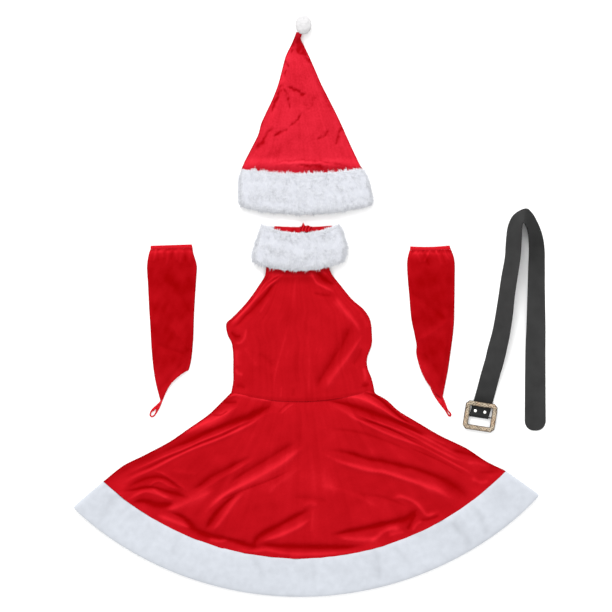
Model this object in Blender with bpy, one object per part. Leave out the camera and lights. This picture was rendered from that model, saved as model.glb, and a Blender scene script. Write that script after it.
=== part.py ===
"""Santa dress costume, laid out flat: halter dress, hat, two arm sleeves and a buckled belt.

Each garment is a set of sewn pieces, and each piece is its own closed object. Lengths are in
millimetres, from the garment's own origin on the floor, with +X right and +Y towards the hat.
Cloth is laid in courses, one table row for each course from the left edge to the right edge,
and its folds are ridges and troughs, one table row for each fold. The buckle turns on its bar.
"""

from collections import namedtuple
from math import asin, atan2, cos, exp, pi, radians, sin, sqrt, tau

import bmesh
import bpy
from mathutils import Vector

MM = 0.001

# Driving sizes
CLOTH = 1.4                 # stretch velvet, with its pile
SEAM = 0.3                  # gap between sewn pieces, and between layers
FUR_BACK = 5.6              # height of the collar's and brim's lower half, pressed flat
COLLAR_HEIGHT = 24.0
BRIM_HEIGHT = 22.0
TRIM_BACK = 5.0             # height of the hem trim's lower half
TRIM_HEIGHT = 12.0
POMPOM = (26.4, 33.0, 25.0)  # core, across, along and up
LOCK = 3.6                  # plush locks beyond the pompom's core
LOOP_THICK = 3.0            # finger loops, lying flat
STRAP = 1.8                 # belt strap's thickness
BAR_RADIUS = 1.25
BAR_PLAY = 0.3              # between the bar and the strap wrapped round it
FRAME_WIDTH = 67.0
FRAME_HEIGHT = 60.0
FRAME_BAR = 10.0
FRAME_THICK = 5.0
FRAME_TURN = -9.0           # degrees, how the buckle lies on the floor

Place = namedtuple("Place", "x y")
Course = namedtuple("Course", "left_x left_y right_x right_y sag")
Fold = namedtuple("Fold", "start_x start_y end_x end_y bend width height")
Station = namedtuple("Station", "outer_x outer_y inner_x inner_y lift")

# Where each garment's origin lies on the floor
DRESS_AT = Place(-26.0, -196.5)
HAT_AT = Place(-18.0, 286.5)
SLEEVE_LEFT_AT = Place(-293.0, 128.5)
SLEEVE_RIGHT_AT = Place(251.0, 126.5)
BUCKLE_AT = Place(356.0, -230.5)

# Dress: from the waist seam's middle
SKIRT = [
    Course(-140, 16, 160, 22, 21),
    Course(-148, 8, 163, 13.5, 24),
    Course(-164, -8, 186, 0, 30),
    Course(-188, -31, 213, -24, 43),
    Course(-228, -59, 253, -48, 66),
    Course(-271, -88.5, 297, -74, 88),
    Course(-326, -117.5, 353, -101, 124),
    Course(-367, -138, 394, -128, 148),
    Course(-406, -169, 433.5, -147.5, 171.5),
]
HEM = [
    Course(-408, -170, 435, -148, 171.5),
    Course(-441, -198, 472, -174, 186),
    Course(-473.5, -226, 508.5, -200.5, 199),
]
BODICE = [
    Course(-140, 16.3, 160, 22.3, 21),
    Course(-136, 40, 154.5, 45, 10),
    Course(-136, 66, 146, 68, 4),
    Course(-136, 92, 145, 88, 1),
    Course(-139, 119, 154.5, 116, 0),
    Course(-148, 138, 155, 140, 0),
    Course(-150.5, 160, 153, 162, 0),
    Course(-138, 173, 148, 176, 0),
    Course(-121, 190, 136, 192, 0),
    Course(-102, 212, 113, 212, 0),
    Course(-83, 239, 90, 240, 0),
    Course(-69, 262, 71, 264, 2),
]
BODICE_FRONT_TOP = Course(-67, 289, 62, 289, 10)
BODICE_BACK_TOP = Course(-67, 281.8, 62, 281.6, 6.1)
COLLAR_FRONT = [
    Course(-93, 288.5, 97, 291, 17.5),
    Course(-98.5, 302, 103, 303, 17),
    Course(-94, 322, 105, 324, 18),
    Course(-86, 346, 98, 349, 19),
    Course(-78.5, 371, 87, 371.5, 21),
]
COLLAR_BACK = [
    Course(-92, 289, 95, 291, 13),
    Course(-96, 304, 100, 304, 12),
    Course(-92, 322, 102, 324, 9),
    Course(-85, 345, 95, 348, 6),
    Course(-77.5, 369.5, 86.5, 370, 4.5),
]
NECK_LINING = [
    Course(-72, 300, 84, 300, 0),
    Course(-49, 365, 70.5, 366, 2.6),
]
CLOSURE = [
    Course(3, 353.4, 29, 352.4, 0),
    Course(3, 362.5, 29, 363.5, -3),
]

BODICE_FOLDS = [
    Fold(-34, 262, -112, 178, 3, 7, 4.2),
    Fold(-52, 268, -112, 200, 2, 4, 2.0),
    Fold(-36, 250, -122, 148, 4, 7, -3.2),
    Fold(-138, 150, -116, 138, 0, 8, -4.0),
    Fold(28, 276, 84, 228, -5, 7, -4.2),
    Fold(44, 276, 66, 258, 0, 5, 2.2),
    Fold(70, 216, 116, 168, 4, 10, 3.2),
    Fold(128, 146, 50, 20, 3, 9, -4.4),
    Fold(142, 124, 78, 14, 3, 10, 3.8),
    Fold(138, 78, 154, 28, 0, 8, 2.8),
    Fold(-32, 150, -47, 16, 0, 5, 1.0),
    Fold(21, 150, 21, 6, 0, 5, 1.2),
    Fold(-7, 256, -12, 170, 0, 6, 0.9),
    Fold(-138, 88, -108, 74, 0, 6, 2.2),
    Fold(-138, 58, -106, 46, 0, 6, 2.2),
]
SKIRT_FOLDS = [
    Fold(-84, -2, -272, -92, 4, 12, 4.6),
    Fold(-64, -24, -340, -138, 4, 9, -3.4),
    Fold(-80, -40, -376, -170, 3, 6, 3.2),
    Fold(-80, -56, -396, -192, 3, 7, 3.4),
    Fold(10, -100, -262, -198, -8, 12, -4.4),
    Fold(-70, -140, -212, -248, -6, 7, -2.8),
    Fold(-118, -192, -194, -274, -4, 8, -4.6),
    Fold(10, -228, -108, -300, 4, 9, -4.2),
    Fold(10, -226, 104, -262, 6, 11, -2.8),
    Fold(-96, -312, 160, -312, -7, 6, -3.2),
    Fold(-338, -204, -280, -236, 5, 6, -3.8),
    Fold(-318, -172, -222, -206, 5, 7, -2.6),
    Fold(-280, -232, -190, -286, 4, 7, -4.0),
    Fold(106, 4, 306, -90, 7, 9, 4.4),
    Fold(54, -4, 372, -142, 9, 10, -4.8),
    Fold(166, 6, 286, -68, 4, 5, -2.6),
    Fold(150, -40, 352, -136, 8, 5, 2.0),
    Fold(50, -108, 362, -216, 22, 12, -5.4),
    Fold(204, -212, 274, -248, 8, 7, 4.6),
    Fold(136, -256, 256, -234, -8, 9, -4.0),
    Fold(126, -306, 232, -280, 8, 9, 4.0),
    Fold(36, -282, 150, -268, 4, 9, -3.0),
    Fold(300, -182, 372, -208, 6, 10, 3.0),
    Fold(-6, -200, 90, -204, 8, 14, 2.2),
]
HEM_DENTS = [
    Fold(-406, -205, -418, -262, 0, 16, -1.6),
    Fold(171, -318, 162, -376, 0, 11, -1.6),
    Fold(338, -262, 354, -296, 0, 14, -2.0),
    Fold(414, -180, 430, -224, 0, 13, -2.0),
]
COLLAR_LUMPS = [
    Fold(-70, 330, 10, 300, 6, 16, 1.6),
    Fold(-30, 346, 60, 332, -4, 10, -1.4),
    Fold(30, 312, 90, 318, 5, 13, 1.3),
    Fold(-62, 352, -82, 300, 0, 8, -1.2),
]

# Hat: from the middle of the brim's top edge
HAT = [
    Course(-121, 15, 119.6, 15, 5),
    Course(-106, 45, 105.5, 45, 2),
    Course(-92, 73, 92.8, 73, 0),
    Course(-85, 98, 81.7, 98, 0),
    Course(-74, 122, 70.2, 122, 0),
    Course(-60, 152, 55, 152, 0),
    Course(-49.5, 180, 40.8, 180, 0),
    Course(-42, 208, 28.8, 208, 0),
    Course(-34, 238, 15.5, 238, 0),
    Course(-23.5, 260, 5, 260, 0),
    Course(-16.5, 275, -2.2, 275, 0),
    Course(-11.5, 287.5, 3, 286.5, -1),
]
HAT_FRONT_BASE = Course(-127, -5, 127.5, -4, 10)
HAT_BACK_BASE = Course(-127, 1.6, 127.5, 2.6, 10)
BRIM_FRONT = [
    Course(-130, -78, 149, -74, 18),
    Course(-135, -62, 151.5, -62, 15),
    Course(-136, -40, 147, -40, 13),
    Course(-134, -18, 141, -17, 12),
    Course(-127.5, 2.5, 130, 3.5, 11),
]
BRIM_BACK = [
    Course(-129, -77, 148, -73, 18),
    Course(-134, -60, 150, -60, 14),
    Course(-135, -38, 145, -38, 12),
    Course(-127.5, 1.2, 130, 2.2, 10),
]
HAT_FOLDS = [
    Fold(-46, 186, -63, 118, 2, 6, -2.2),
    Fold(-33, 178, 8, 155, 2, 6, -2.0),
    Fold(-33, 166, -26, 124, 0, 5, -1.6),
    Fold(-6, 114, -24, 94, 0, 5, -1.6),
    Fold(-66, 96, -82, 54, 0, 6, -2.4),
    Fold(-26, 90, -58, 68, 0, 6, -2.0),
    Fold(54, 90, 38, 64, 0, 6, -1.8),
    Fold(80, 92, 72, 54, 0, 6, -1.8),
    Fold(-70, 8, 96, 10, 3, 5, -3.4),
    Fold(-60, 20, 90, 22, 4, 7, 2.4),
    Fold(-28, 250, 12, 236, -3, 8, -1.8),
]
BRIM_LUMPS = [
    Fold(-110, -30, -20, -40, 5, 16, 1.4),
    Fold(10, -20, 100, -34, 6, 15, 1.4),
    Fold(60, -60, 130, -50, 5, 14, 1.2),
    Fold(-80, -66, 10, -72, 0, 12, -1.2),
]

# Arm sleeves: from the middle of the arm end, with the hand end towards -Y
SLEEVE_LEFT = [
    Course(-42.6, -8.3, 45.6, -5.3, 0),
    Course(-46.5, -20, 48, -19, 0),
    Course(-50, -45, 54.5, -42, 0),
    Course(-48, -82, 53.5, -70, 0),
    Course(-45.5, -132, 50.5, -115, 0),
    Course(-43, -172, 48.5, -155, 0),
    Course(-40.5, -216, 47.5, -190, 0),
    Course(-36.8, -256, 45.5, -218, -3),
    Course(-31.2, -290, 42, -243, -8),
    Course(-21.5, -327.5, 35.5, -263.5, -12.5),
]
SLEEVE_RIGHT = [
    Course(-42.3, -8.3, 44, -6.8, 1),
    Course(-45.5, -18, 49.5, -21, 0),
    Course(-48, -35, 52, -37, 0),
    Course(-47, -64, 52, -72, 0),
    Course(-43.5, -104, 51.5, -112, 0),
    Course(-39.5, -150, 50.5, -160, 0),
    Course(-33.3, -181, 47, -195, 0),
    Course(-28.5, -206, 42.5, -228, 0),
    Course(-29, -220, 37.5, -262, 2),
    Course(-28, -231, 32, -290, 5),
    Course(-24.5, -243, 26, -320.5, 8),
]
HEM_LEFT = [Course(-42.5, -1.2, 44.3, 1.7, 0), Course(-42.4, -8.0, 45.4, -5.0, 0)]
HEM_RIGHT = [Course(-41.6, -0.4, 41, 1.5, 2), Course(-42.2, -8.0, 43.8, -6.5, 1)]
SLEEVE_LEFT_FOLDS = [
    Fold(-30, -6, -33, -32, 0, 3.4, 2.0),
    Fold(-17, -6, -15, -26, 0, 3.2, 1.8),
    Fold(-4, -6, -6, -36, 0, 3.4, 2.0),
    Fold(9, -6, 12, -28, 0, 3.2, 1.8),
    Fold(21, -6, 20, -34, 0, 3.4, 2.0),
    Fold(34, -4, 40, -36, 0, 3.4, 2.0),
    Fold(6, -84, 42, -138, 4, 7, -2.2),
    Fold(4, -172, 38, -212, 3, 8, 2.0),
    Fold(-34, -208, 26, -226, 4, 7, -1.6),
    Fold(-24, -300, 24, -252, 2, 8, -2.0),
]
SLEEVE_RIGHT_FOLDS = [
    Fold(-28, -7, -20, -34, 0, 3.6, 1.8),
    Fold(-14, -7, -2, -40, 2, 3.6, -2.2),
    Fold(2, -7, -12, -32, 0, 3.6, 2.2),
    Fold(12, -7, 24, -38, -2, 3.6, 2.2),
    Fold(24, -6, 38, -28, 0, 3.6, 1.8),
    Fold(-36, -104, 30, -152, 5, 9, -2.0),
    Fold(-20, -196, 34, -160, 3, 9, 2.2),
    Fold(-26, -236, 26, -312, -6, 7, 2.4),
    Fold(-12, -232, 30, -290, -4, 6, -2.2),
]
# Finger loops: the middle line of a narrow stitched band, and half its width there
Bend = namedtuple("Bend", "x y half")
LOOP_LEFT = [
    Bend(-21.7, -327.9, 0.9),
    Bend(-25.4, -333.4, 1.8),
    Bend(-31.9, -340.2, 2.3),
    Bend(-39.2, -346.4, 1.8),
    Bend(-43.6, -352.4, 1.6),
    Bend(-43.3, -357.8, 1.5),
    Bend(-39.6, -360.0, 1.4),
    Bend(-35.1, -358.1, 1.5),
    Bend(-29.5, -350.4, 1.8),
    Bend(-24.6, -341.4, 2.2),
    Bend(-20.4, -333.4, 2.0),
    Bend(-18.6, -328.2, 1.4),
    Bend(-18.8, -322.2, 1.2),
]
LOOP_RIGHT = [
    Bend(1.6, -299.6, 1.4),
    Bend(10.3, -311.9, 2.5),
    Bend(19.6, -325.0, 2.4),
    Bend(26.4, -335.2, 1.8),
    Bend(31.4, -342.4, 1.4),
    Bend(35.6, -349.2, 1.5),
    Bend(38.6, -354.0, 1.6),
    Bend(41.6, -356.4, 1.6),
    Bend(43.8, -353.8, 1.6),
    Bend(41.4, -349.4, 1.5),
    Bend(37.6, -345.0, 1.4),
    Bend(34.6, -339.8, 1.5),
    Bend(31.0, -332.0, 2.1),
    Bend(27.6, -324.6, 2.1),
]

# Belt: from the middle of the buckle's bar. The strap's outer edge lies on the floor.
STRAP_RUN = [
    Station(-7.1, 54.7, 32.3, 48.4, 2),
    Station(3, 92, 41, 84, 9),
    Station(11.3, 119.8, 48.1, 109.7, 14),
    Station(16.8, 142.7, 53.8, 134.5, 17),
    Station(26.7, 178.6, 61.1, 171.3, 22),
    Station(34.2, 218.1, 67, 213.3, 26),
    Station(39.9, 254.2, 70.6, 251, 28),
    Station(45.8, 293.5, 76.4, 291, 29),
    Station(52.9, 333, 82.5, 331.9, 29.5),
    Station(55.2, 365.7, 84.8, 366.6, 30),
    Station(59.4, 398.5, 85.6, 391, 30.5),
    Station(72, 423, 86.4, 400.5, 30),
    Station(96.2, 435.6, 88, 404.4, 28),
    Station(109.5, 425.6, 90.4, 401.5, 28.5),
    Station(118.7, 410, 93.4, 396, 29),
    Station(126.8, 391.9, 96.4, 385.5, 28),
    Station(132.3, 372.2, 98.5, 371, 25),
    Station(135.2, 349.3, 99.6, 349.3, 23),
    Station(135.7, 316.6, 98.9, 316.6, 19.5),
    Station(135.9, 267.2, 97.9, 267.2, 16),
    Station(137.3, 185.3, 96.2, 185.3, 9),
    Station(137.3, 136, 94.9, 136, 4),
    Station(137.8, 37.9, 94.3, 37.9, 0),
    Station(138.2, -8.3, 94, -8.3, 0),
]
STRAP_TIP = 22.0            # how far the rounded end reaches beyond the last station
LAP_END = 37.0              # end of the strap's lower layer, from the bar
STRAP_AT_BAR = (-22.2, 17.8)  # edges along the bar
STRAP_LEAN = 0.125          # sideways drift of the strap for each unit away from the bar
RIVETS = [(-11.6, 10.0), (8.5, 10.0)]

COLOURS = {
    "velvet": ("#C40F1C", 0.42, 0.0),
    "crushed_velvet": ("#DA2233", 0.38, 0.0),
    "plush": ("#E6E9EE", 0.9, 0.0),
    "leatherette": ("#2F2F31", 0.6, 0.0),
    "nickel": ("#D9D9D6", 0.25, 1.0),
    "antique_brass": ("#8F7650", 0.42, 1.0),
    "dark_steel": ("#3A3634", 0.45, 1.0),
}


def linear(hex_colour):
    """The linear values of an sRGB hex colour."""
    values = [int(hex_colour[i:i + 2], 16) / 255 for i in (1, 3, 5)]
    return [v / 12.92 if v <= 0.04045 else ((v + 0.055) / 1.055) ** 2.4 for v in values]


def material(name):
    found = bpy.data.materials.get(name)
    if found:
        return found
    colour, roughness, metallic = COLOURS[name]
    made = bpy.data.materials.new(name)
    made.use_nodes = True
    shader = made.node_tree.nodes["Principled BSDF"]
    shader.inputs["Base Color"].default_value = (*linear(colour), 1.0)
    shader.inputs["Roughness"].default_value = roughness
    shader.inputs["Metallic"].default_value = metallic
    made.diffuse_color = (*linear(colour), 1.0)
    return made


def clear_scene():
    for thing in list(bpy.data.objects):
        bpy.data.objects.remove(thing)


def new_collection(name):
    made = bpy.data.collections.new(name)
    bpy.context.scene.collection.children.link(made)
    return made


def origin_empty(name, place, height=0.0, turn=0.0):
    """A garment's origin, which its pieces hang from."""
    empty = bpy.data.objects.new(name, None)
    empty.location = (place.x * MM, place.y * MM, height * MM)
    empty.rotation_euler = (0.0, 0.0, radians(turn))
    COSTUME.objects.link(empty)
    return empty


def add_piece(name, mesh, parent, finish, smooth=True):
    mesh.materials.append(material(finish))
    piece = bpy.data.objects.new(name, mesh)
    piece.parent = parent
    COSTUME.objects.link(piece)
    if smooth:
        mesh.shade_smooth()
        mesh.set_sharp_from_angle(angle=radians(40))
    return piece


# Shapes from tables

def blend(rows, at):
    """The row at a share of the way down a table, on a smooth curve through its rows."""
    spot = at * (len(rows) - 1)
    index = min(int(spot), len(rows) - 2)
    t = spot - index
    near = rows[max(index - 1, 0)], rows[index], rows[index + 1], rows[min(index + 2, len(rows) - 1)]
    values = [
        0.5 * (2 * b + (c - a) * t + (2 * a - 5 * b + 4 * c - d) * t * t + (3 * b - a - 3 * c + d) * t ** 3)
        for a, b, c, d in zip(*near)
    ]
    return type(rows[0])(*values)


def on_course(course, across):
    """A point on a course: a circular arc between its ends, which sags to its right-hand side."""
    start = Vector((course.left_x, course.left_y))
    chord = Vector((course.right_x, course.right_y)) - start
    length = chord.length
    side = Vector((chord.y, -chord.x)) / length
    if abs(course.sag) < 0.01:
        return start + chord * across
    radius = (length * length / 4 + course.sag ** 2) / (2 * course.sag)
    half = asin(max(-1.0, min(1.0, length / 2 / radius)))
    turn = half * (2 * across - 1)
    along = radius * (sin(turn) + sin(half))
    drop = radius * (cos(turn) - cos(half))
    return start + chord / length * along + side * drop


def smoothstep(low, high, value):
    t = max(0.0, min(1.0, (value - low) / (high - low)))
    return t * t * (3 - 2 * t)


def fold_height(folds, x, y):
    """Height that the ridges and troughs add at a point."""
    total = 0.0
    for fold in folds:
        run_x = fold.end_x - fold.start_x
        run_y = fold.end_y - fold.start_y
        length = sqrt(run_x * run_x + run_y * run_y)
        t = ((x - fold.start_x) * run_x + (y - fold.start_y) * run_y) / length ** 2
        if not 0.0 < t < 1.0:
            continue
        off = ((x - fold.start_x) * -run_y + (y - fold.start_y) * run_x) / length
        off -= fold.bend * 4 * t * (1 - t)
        fade = smoothstep(0.0, 0.25, t) * smoothstep(1.0, 0.8, t)
        total += fold.height * fade * exp(-(off / fold.width) ** 2)
    return total


def above(value, soft=0.2):
    """The value kept above zero, with a soft corner."""
    return 0.5 * (value + sqrt(value * value + 4 * soft * soft))


def eased(t, share=0.6):
    """Steps that are closer together near both ends."""
    return (1 - share) * t + share * 0.5 * (1 - cos(pi * t))


def crown(t, power=4):
    """A pillow's height across its width, 0 at the edges and 1 in the middle."""
    return sqrt(max(0.0, 1 - abs(2 * t - 1) ** power))


def rounded(across, along, pull, free_edge_only=False):
    """The place in a panel with its corners drawn in, by a share of its width and height."""
    s = 2 * across - 1
    t = 2 * along - 1
    corner = 0.0 if free_edge_only and t < 0 else (s * s * t * t) ** 6
    return 0.5 + 0.5 * s * (1 - pull[0] * corner), 0.5 + 0.5 * t * (1 - pull[1] * corner)


# Closed bodies

def finish_mesh(name, bm):
    bm.normal_update()
    bmesh.ops.recalc_face_normals(bm, faces=bm.faces[:])
    mesh = bpy.data.meshes.new(name)
    bm.to_mesh(mesh)
    bm.free()
    return mesh


def sheet_mesh(name, columns, rows, place):
    """A grid and a second one below it, joined round the edges. place gives each point."""
    bm = bmesh.new()
    bmesh.ops.create_grid(bm, x_segments=columns, y_segments=rows, size=0.5)
    grown = bmesh.ops.extrude_face_region(bm, geom=bm.faces[:])
    lower = {item for item in grown["geom"] if isinstance(item, bmesh.types.BMVert)}
    for vert in bm.verts:
        across = vert.co.x + 0.5
        along = vert.co.y + 0.5
        vert.co = Vector(place(across, along, vert in lower)) * MM
    return finish_mesh(name, bm)


def tube_mesh(name, around, rows, place):
    """An open-ended tube with a wall, as an outer and an inner grid that are joined at both ends."""
    bm = bmesh.new()
    bmesh.ops.create_grid(bm, x_segments=around, y_segments=rows, size=0.5)
    for vert in bm.verts:
        turn = tau * (vert.co.x + 0.5)
        vert.co = (cos(turn), sin(turn), vert.co.y + 0.5)
    bmesh.ops.remove_doubles(bm, verts=bm.verts[:], dist=1e-4)
    grown = bmesh.ops.extrude_face_region(bm, geom=bm.faces[:])
    inner = {item for item in grown["geom"] if isinstance(item, bmesh.types.BMVert)}
    for vert in bm.verts:
        step = round(atan2(vert.co.y, vert.co.x) / tau * around) % around
        vert.co = Vector(place(step, vert.co.z, vert in inner)) * MM
    return finish_mesh(name, bm)


def cloth_mesh(name, columns, rows, courses, underside):
    """A cloth wall on its courses, whose underside follows a height function."""
    def place(across, along, is_lower):
        spot = on_course(blend(courses, along), across)
        height = underside(spot.x, spot.y, across, along)
        return (spot.x, spot.y, height if is_lower else height + CLOTH)
    return sheet_mesh(name, columns, rows, place)


def pillow_mesh(name, columns, rows, courses, floor, top, dents=(), pull=(0.03, 0.08), ends=0.05, seamed=False):
    """A plush band with rounded edges and a soft crown. floor gives the height of its underside."""
    lip = 1.0

    def place(across, along, is_lower):
        across = eased(across, 0.35)
        along = eased(along)
        part, down = rounded(across, along, pull, seamed)
        spot = on_course(blend(courses, down), part)
        base = floor(part, down)
        if is_lower:
            return (spot.x, spot.y, base)
        from_end = min(across, 1 - across)
        side = sqrt(max(0.0, 1 - (1 - min(1.0, from_end / ends)) ** 2))
        swell = crown(along) * side
        lumps = fold_height(dents, spot.x, spot.y) * swell
        return (spot.x, spot.y, base + lip + (top - base - lip) * swell + lumps)
    return sheet_mesh(name, columns, rows, place)


def on_floor(part, down):
    return 0.0


# Dress

FRONT_REST = CLOTH + SEAM / 2   # the front's lowest troughs, just clear of the back


def bodice_front_under(x, y, across, along):
    from_side = 1 - abs(2 * across - 1)
    puff = 3.4 * smoothstep(0.0, 0.3, from_side)
    free = 1 - smoothstep(0.9, 0.955, along)
    neck = (FUR_BACK + SEAM - FRONT_REST - 0.2) * smoothstep(0.84, 0.95, along)
    relief = above(free * (puff + fold_height(BODICE_FOLDS, x, y) * from_side ** 0.25))
    return FRONT_REST + neck + relief


def skirt_front_under(x, y, across, along):
    from_side = 1 - abs(2 * across - 1)
    puff = 4.2 * smoothstep(0.0, 0.2, from_side) * smoothstep(0.0, 0.12, along)
    seam_rise = (TRIM_BACK + SEAM + 0.6 - FRONT_REST) * smoothstep(0.93, 1.0, along)
    folds = fold_height(SKIRT_FOLDS, x, y) * smoothstep(0.0, 0.06, from_side)
    relief = above(puff * (1 - 0.8 * smoothstep(0.93, 1.0, along)) + folds)
    return FRONT_REST + relief + seam_rise


def flat_under(x, y, across, along):
    return 0.0


def hem_mesh(name, columns, rows, floor, top, dents):
    """One half of the hem's trim, whose two lower corners are rounded."""
    return pillow_mesh(name, columns, rows, HEM, floor, top, dents, pull=(0.008, 0.1), ends=0.01, seamed=True)


def on_back_trim(part, down):
    return TRIM_BACK + SEAM


def make_dress():
    dress = origin_empty("dress_origin", DRESS_AT)
    add_piece("bodice_back", cloth_mesh("bodice_back", 8, 13, BODICE + [BODICE_BACK_TOP], flat_under), dress, "velvet")
    add_piece(
        "bodice_front",
        cloth_mesh("bodice_front", 18, 20, BODICE + [BODICE_FRONT_TOP], bodice_front_under), dress, "velvet",
    )
    add_piece("skirt_back", cloth_mesh("skirt_back", 20, 7, SKIRT, flat_under), dress, "velvet")
    add_piece("skirt_front", cloth_mesh("skirt_front", 42, 18, SKIRT, skirt_front_under), dress, "velvet")
    add_piece("hem_trim_back", hem_mesh("hem_trim_back", 30, 4, on_floor, TRIM_BACK, ()), dress, "plush")
    front_hem = hem_mesh("hem_trim_front", 40, 5, on_back_trim, TRIM_HEIGHT, HEM_DENTS)
    add_piece("hem_trim_front", front_hem, dress, "plush")
    add_piece("collar_back", pillow_mesh("collar_back", 14, 4, COLLAR_BACK, on_floor, FUR_BACK), dress, "plush")
    add_piece("neck_lining", neck_lining_mesh(), dress, "velvet")
    add_piece("neck_closure", closure_mesh(), dress, "velvet")
    add_piece("collar_front", collar_front_mesh(), dress, "plush")


def neck_lining_mesh():
    """The red inner side of the collar's back, which shows behind the dipped front."""
    low = FUR_BACK + SEAM

    def place(across, along, is_lower):
        spot = on_course(blend(NECK_LINING, along), across)
        return (spot.x, spot.y, low if is_lower else low + CLOTH)
    return sheet_mesh("neck_lining", 12, 2, place)


def closure_mesh():
    """The gathered bunch of cloth where the back of the neck closes."""
    low = FUR_BACK + SEAM + CLOTH + SEAM
    gathers = 4

    def place(across, along, is_lower):
        spot = on_course(blend(CLOSURE, along), across)
        wave = sin(tau * gathers * (across + 0.08 * sin(5 * along)))
        peak = 6.5 * exp(-((across - 0.3) / 0.09) ** 2)
        ruffle = smoothstep(0.5, 1.0, along) * (peak + 0.7 * sin(tau * 3 * across + 1))
        height = low + 1.7 + 1.6 * wave * (0.5 + 0.5 * along) + 2.0 * crown(across)
        return (spot.x, spot.y + ruffle, height if is_lower else height + 1.2)
    return sheet_mesh("neck_closure", 20, 5, place)


def collar_front_mesh():
    """The front of the plush collar, over the lining, and on the collar's back at both ends."""
    def floor(part, down):
        over_cloth = smoothstep(0.0, 0.09, min(part, 1 - part))
        return FUR_BACK + SEAM + (CLOTH + SEAM) * over_cloth
    return pillow_mesh("collar_front", 20, 8, COLLAR_FRONT, floor, COLLAR_HEIGHT, COLLAR_LUMPS, (0.04, 0.12), 0.12)


# Hat

def tip_rise(y):
    """How far the hat's tip lifts off the floor to meet the pompom."""
    return 10.0 * smoothstep(262, 286, y)


def hat_back_under(x, y, across, along):
    return tip_rise(y)


def hat_front_under(x, y, across, along):
    from_side = 1 - abs(2 * across - 1)
    puff = 4.5 * smoothstep(0.0, 0.35, from_side) * (1 - smoothstep(200, 280, y))
    brim = (FUR_BACK + SEAM - FRONT_REST - 0.2) * (1 - smoothstep(4, 26, y))
    free = smoothstep(0.033, 0.1, along)
    relief = above(free * (puff + fold_height(HAT_FOLDS, x, y) * from_side ** 0.25))
    return FRONT_REST + brim + relief + tip_rise(y)


def brim_floor(part, up):
    """The brim's front lies on its back, and near its top edge on the hat's tucked cloth."""
    over_cloth = smoothstep(0.55, 0.72, up)
    return FUR_BACK + SEAM + (CLOTH + 2 * SEAM) * over_cloth


def make_hat():
    hat = origin_empty("hat_origin", HAT_AT)
    add_piece("hat_back", cloth_mesh("hat_back", 6, 20, [HAT_BACK_BASE] + HAT, hat_back_under), hat, "crushed_velvet")
    add_piece("hat_front", cloth_mesh("hat_front", 14, 20, [HAT_FRONT_BASE] + HAT, hat_front_under), hat, "crushed_velvet")
    add_piece("brim_back", pillow_mesh("brim_back", 16, 4, BRIM_BACK, on_floor, FUR_BACK), hat, "plush")
    brim_front = pillow_mesh("brim_front", 20, 7, BRIM_FRONT, brim_floor, BRIM_HEIGHT, BRIM_LUMPS)
    add_piece("brim_front", brim_front, hat, "plush")
    make_pompom(hat)


def make_pompom(hat):
    """A core with short four-sided locks all over it, but for the side that is sewn to the tip."""
    centre = Vector((3.5, 303.0, POMPOM[2] / 2 + LOCK + SEAM))
    sewn_side = Vector((-0.38, -0.9, -0.2)).normalized()
    bm = bmesh.new()
    bmesh.ops.create_cube(bm, size=2.0)
    bmesh.ops.subdivide_edges(bm, edges=bm.edges[:], cuts=4, use_grid_fill=True)
    for vert in bm.verts:
        vert.co = vert.co.normalized()
    tufted = [face for face in bm.faces if face.calc_center_median().normalized().dot(sewn_side) < 0.8]
    bmesh.ops.recalc_face_normals(bm, faces=bm.faces[:])
    for vert in bm.verts:
        vert.co = Vector(c * size / 2 for c, size in zip(vert.co, POMPOM))
    bm.normal_update()
    grown = bmesh.ops.poke(bm, faces=tufted, offset=LOCK, center_mode="MEAN")
    for index, vert in enumerate(grown["verts"]):
        vert.co *= 1 + 0.035 * sin(7.3 * index)
    for vert in bm.verts:
        vert.co = (vert.co + centre) * MM
    add_piece("pompom", finish_mesh("pompom", bm), hat, "plush", smooth=False)


# Arm sleeves

def flat_tube(name, courses, wall, space, folds, columns, rows, puff):
    """A cloth tube pressed flat: many points over its top, few below, and a round edge each side."""
    below = 6
    around = columns + below

    def place(step, along, is_inner):
        course = blend(courses, along)
        on_top = step <= columns
        across = step / columns if on_top else 1 - (step - columns) / below
        inset = wall if is_inner else 0.0
        left = on_course(course, 0.0)
        right = on_course(course, 1.0)
        width = (right - left).length
        across = 0.5 + (across - 0.5) * (1 - 2 * inset / width)
        spot = on_course(course, across)
        from_side = 1 - abs(2 * across - 1)
        full = 2 * wall + space
        swell = puff * smoothstep(0.0, 0.4, from_side) * smoothstep(0.0, 0.1, along)
        top = full + above(swell + fold_height(folds, spot.x, spot.y) * smoothstep(0, 0.1, from_side), 0.3)
        middle = (full + 0.6) / 2
        if step in (0, columns):
            return (spot.x, spot.y, middle)
        if on_top:
            return (spot.x, spot.y, top - inset)
        return (spot.x, spot.y, inset)
    return tube_mesh(name, around, rows, place)


def finger_loop(name, bends, parent):
    """A narrow stitched band, lying flat, whose two ends meet the sleeve's point."""
    steps = 28
    around = 8
    line = [blend(bends, index / steps) for index in range(steps + 1)]
    up = Vector((0, 0, LOOP_THICK / 2))
    bm = bmesh.new()
    rings = []
    for index, bend in enumerate(line):
        before = line[max(index - 1, 0)]
        after = line[min(index + 1, steps)]
        side = Vector((after.y - before.y, before.x - after.x, 0)).normalized() * bend.half
        centre = Vector((bend.x, bend.y, LOOP_THICK / 2 + 0.1))
        turns = [tau * k / around for k in range(around)]
        rings.append([bm.verts.new((centre + side * cos(turn) + up * sin(turn)) * MM) for turn in turns])
    for ring, following in zip(rings, rings[1:]):
        for k in range(around):
            after = (k + 1) % around
            bm.faces.new((ring[k], ring[after], following[after], following[k]))
    bm.faces.new(rings[0])
    bm.faces.new(rings[-1])
    add_piece(name, finish_mesh(name, bm), parent, "velvet")


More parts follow.
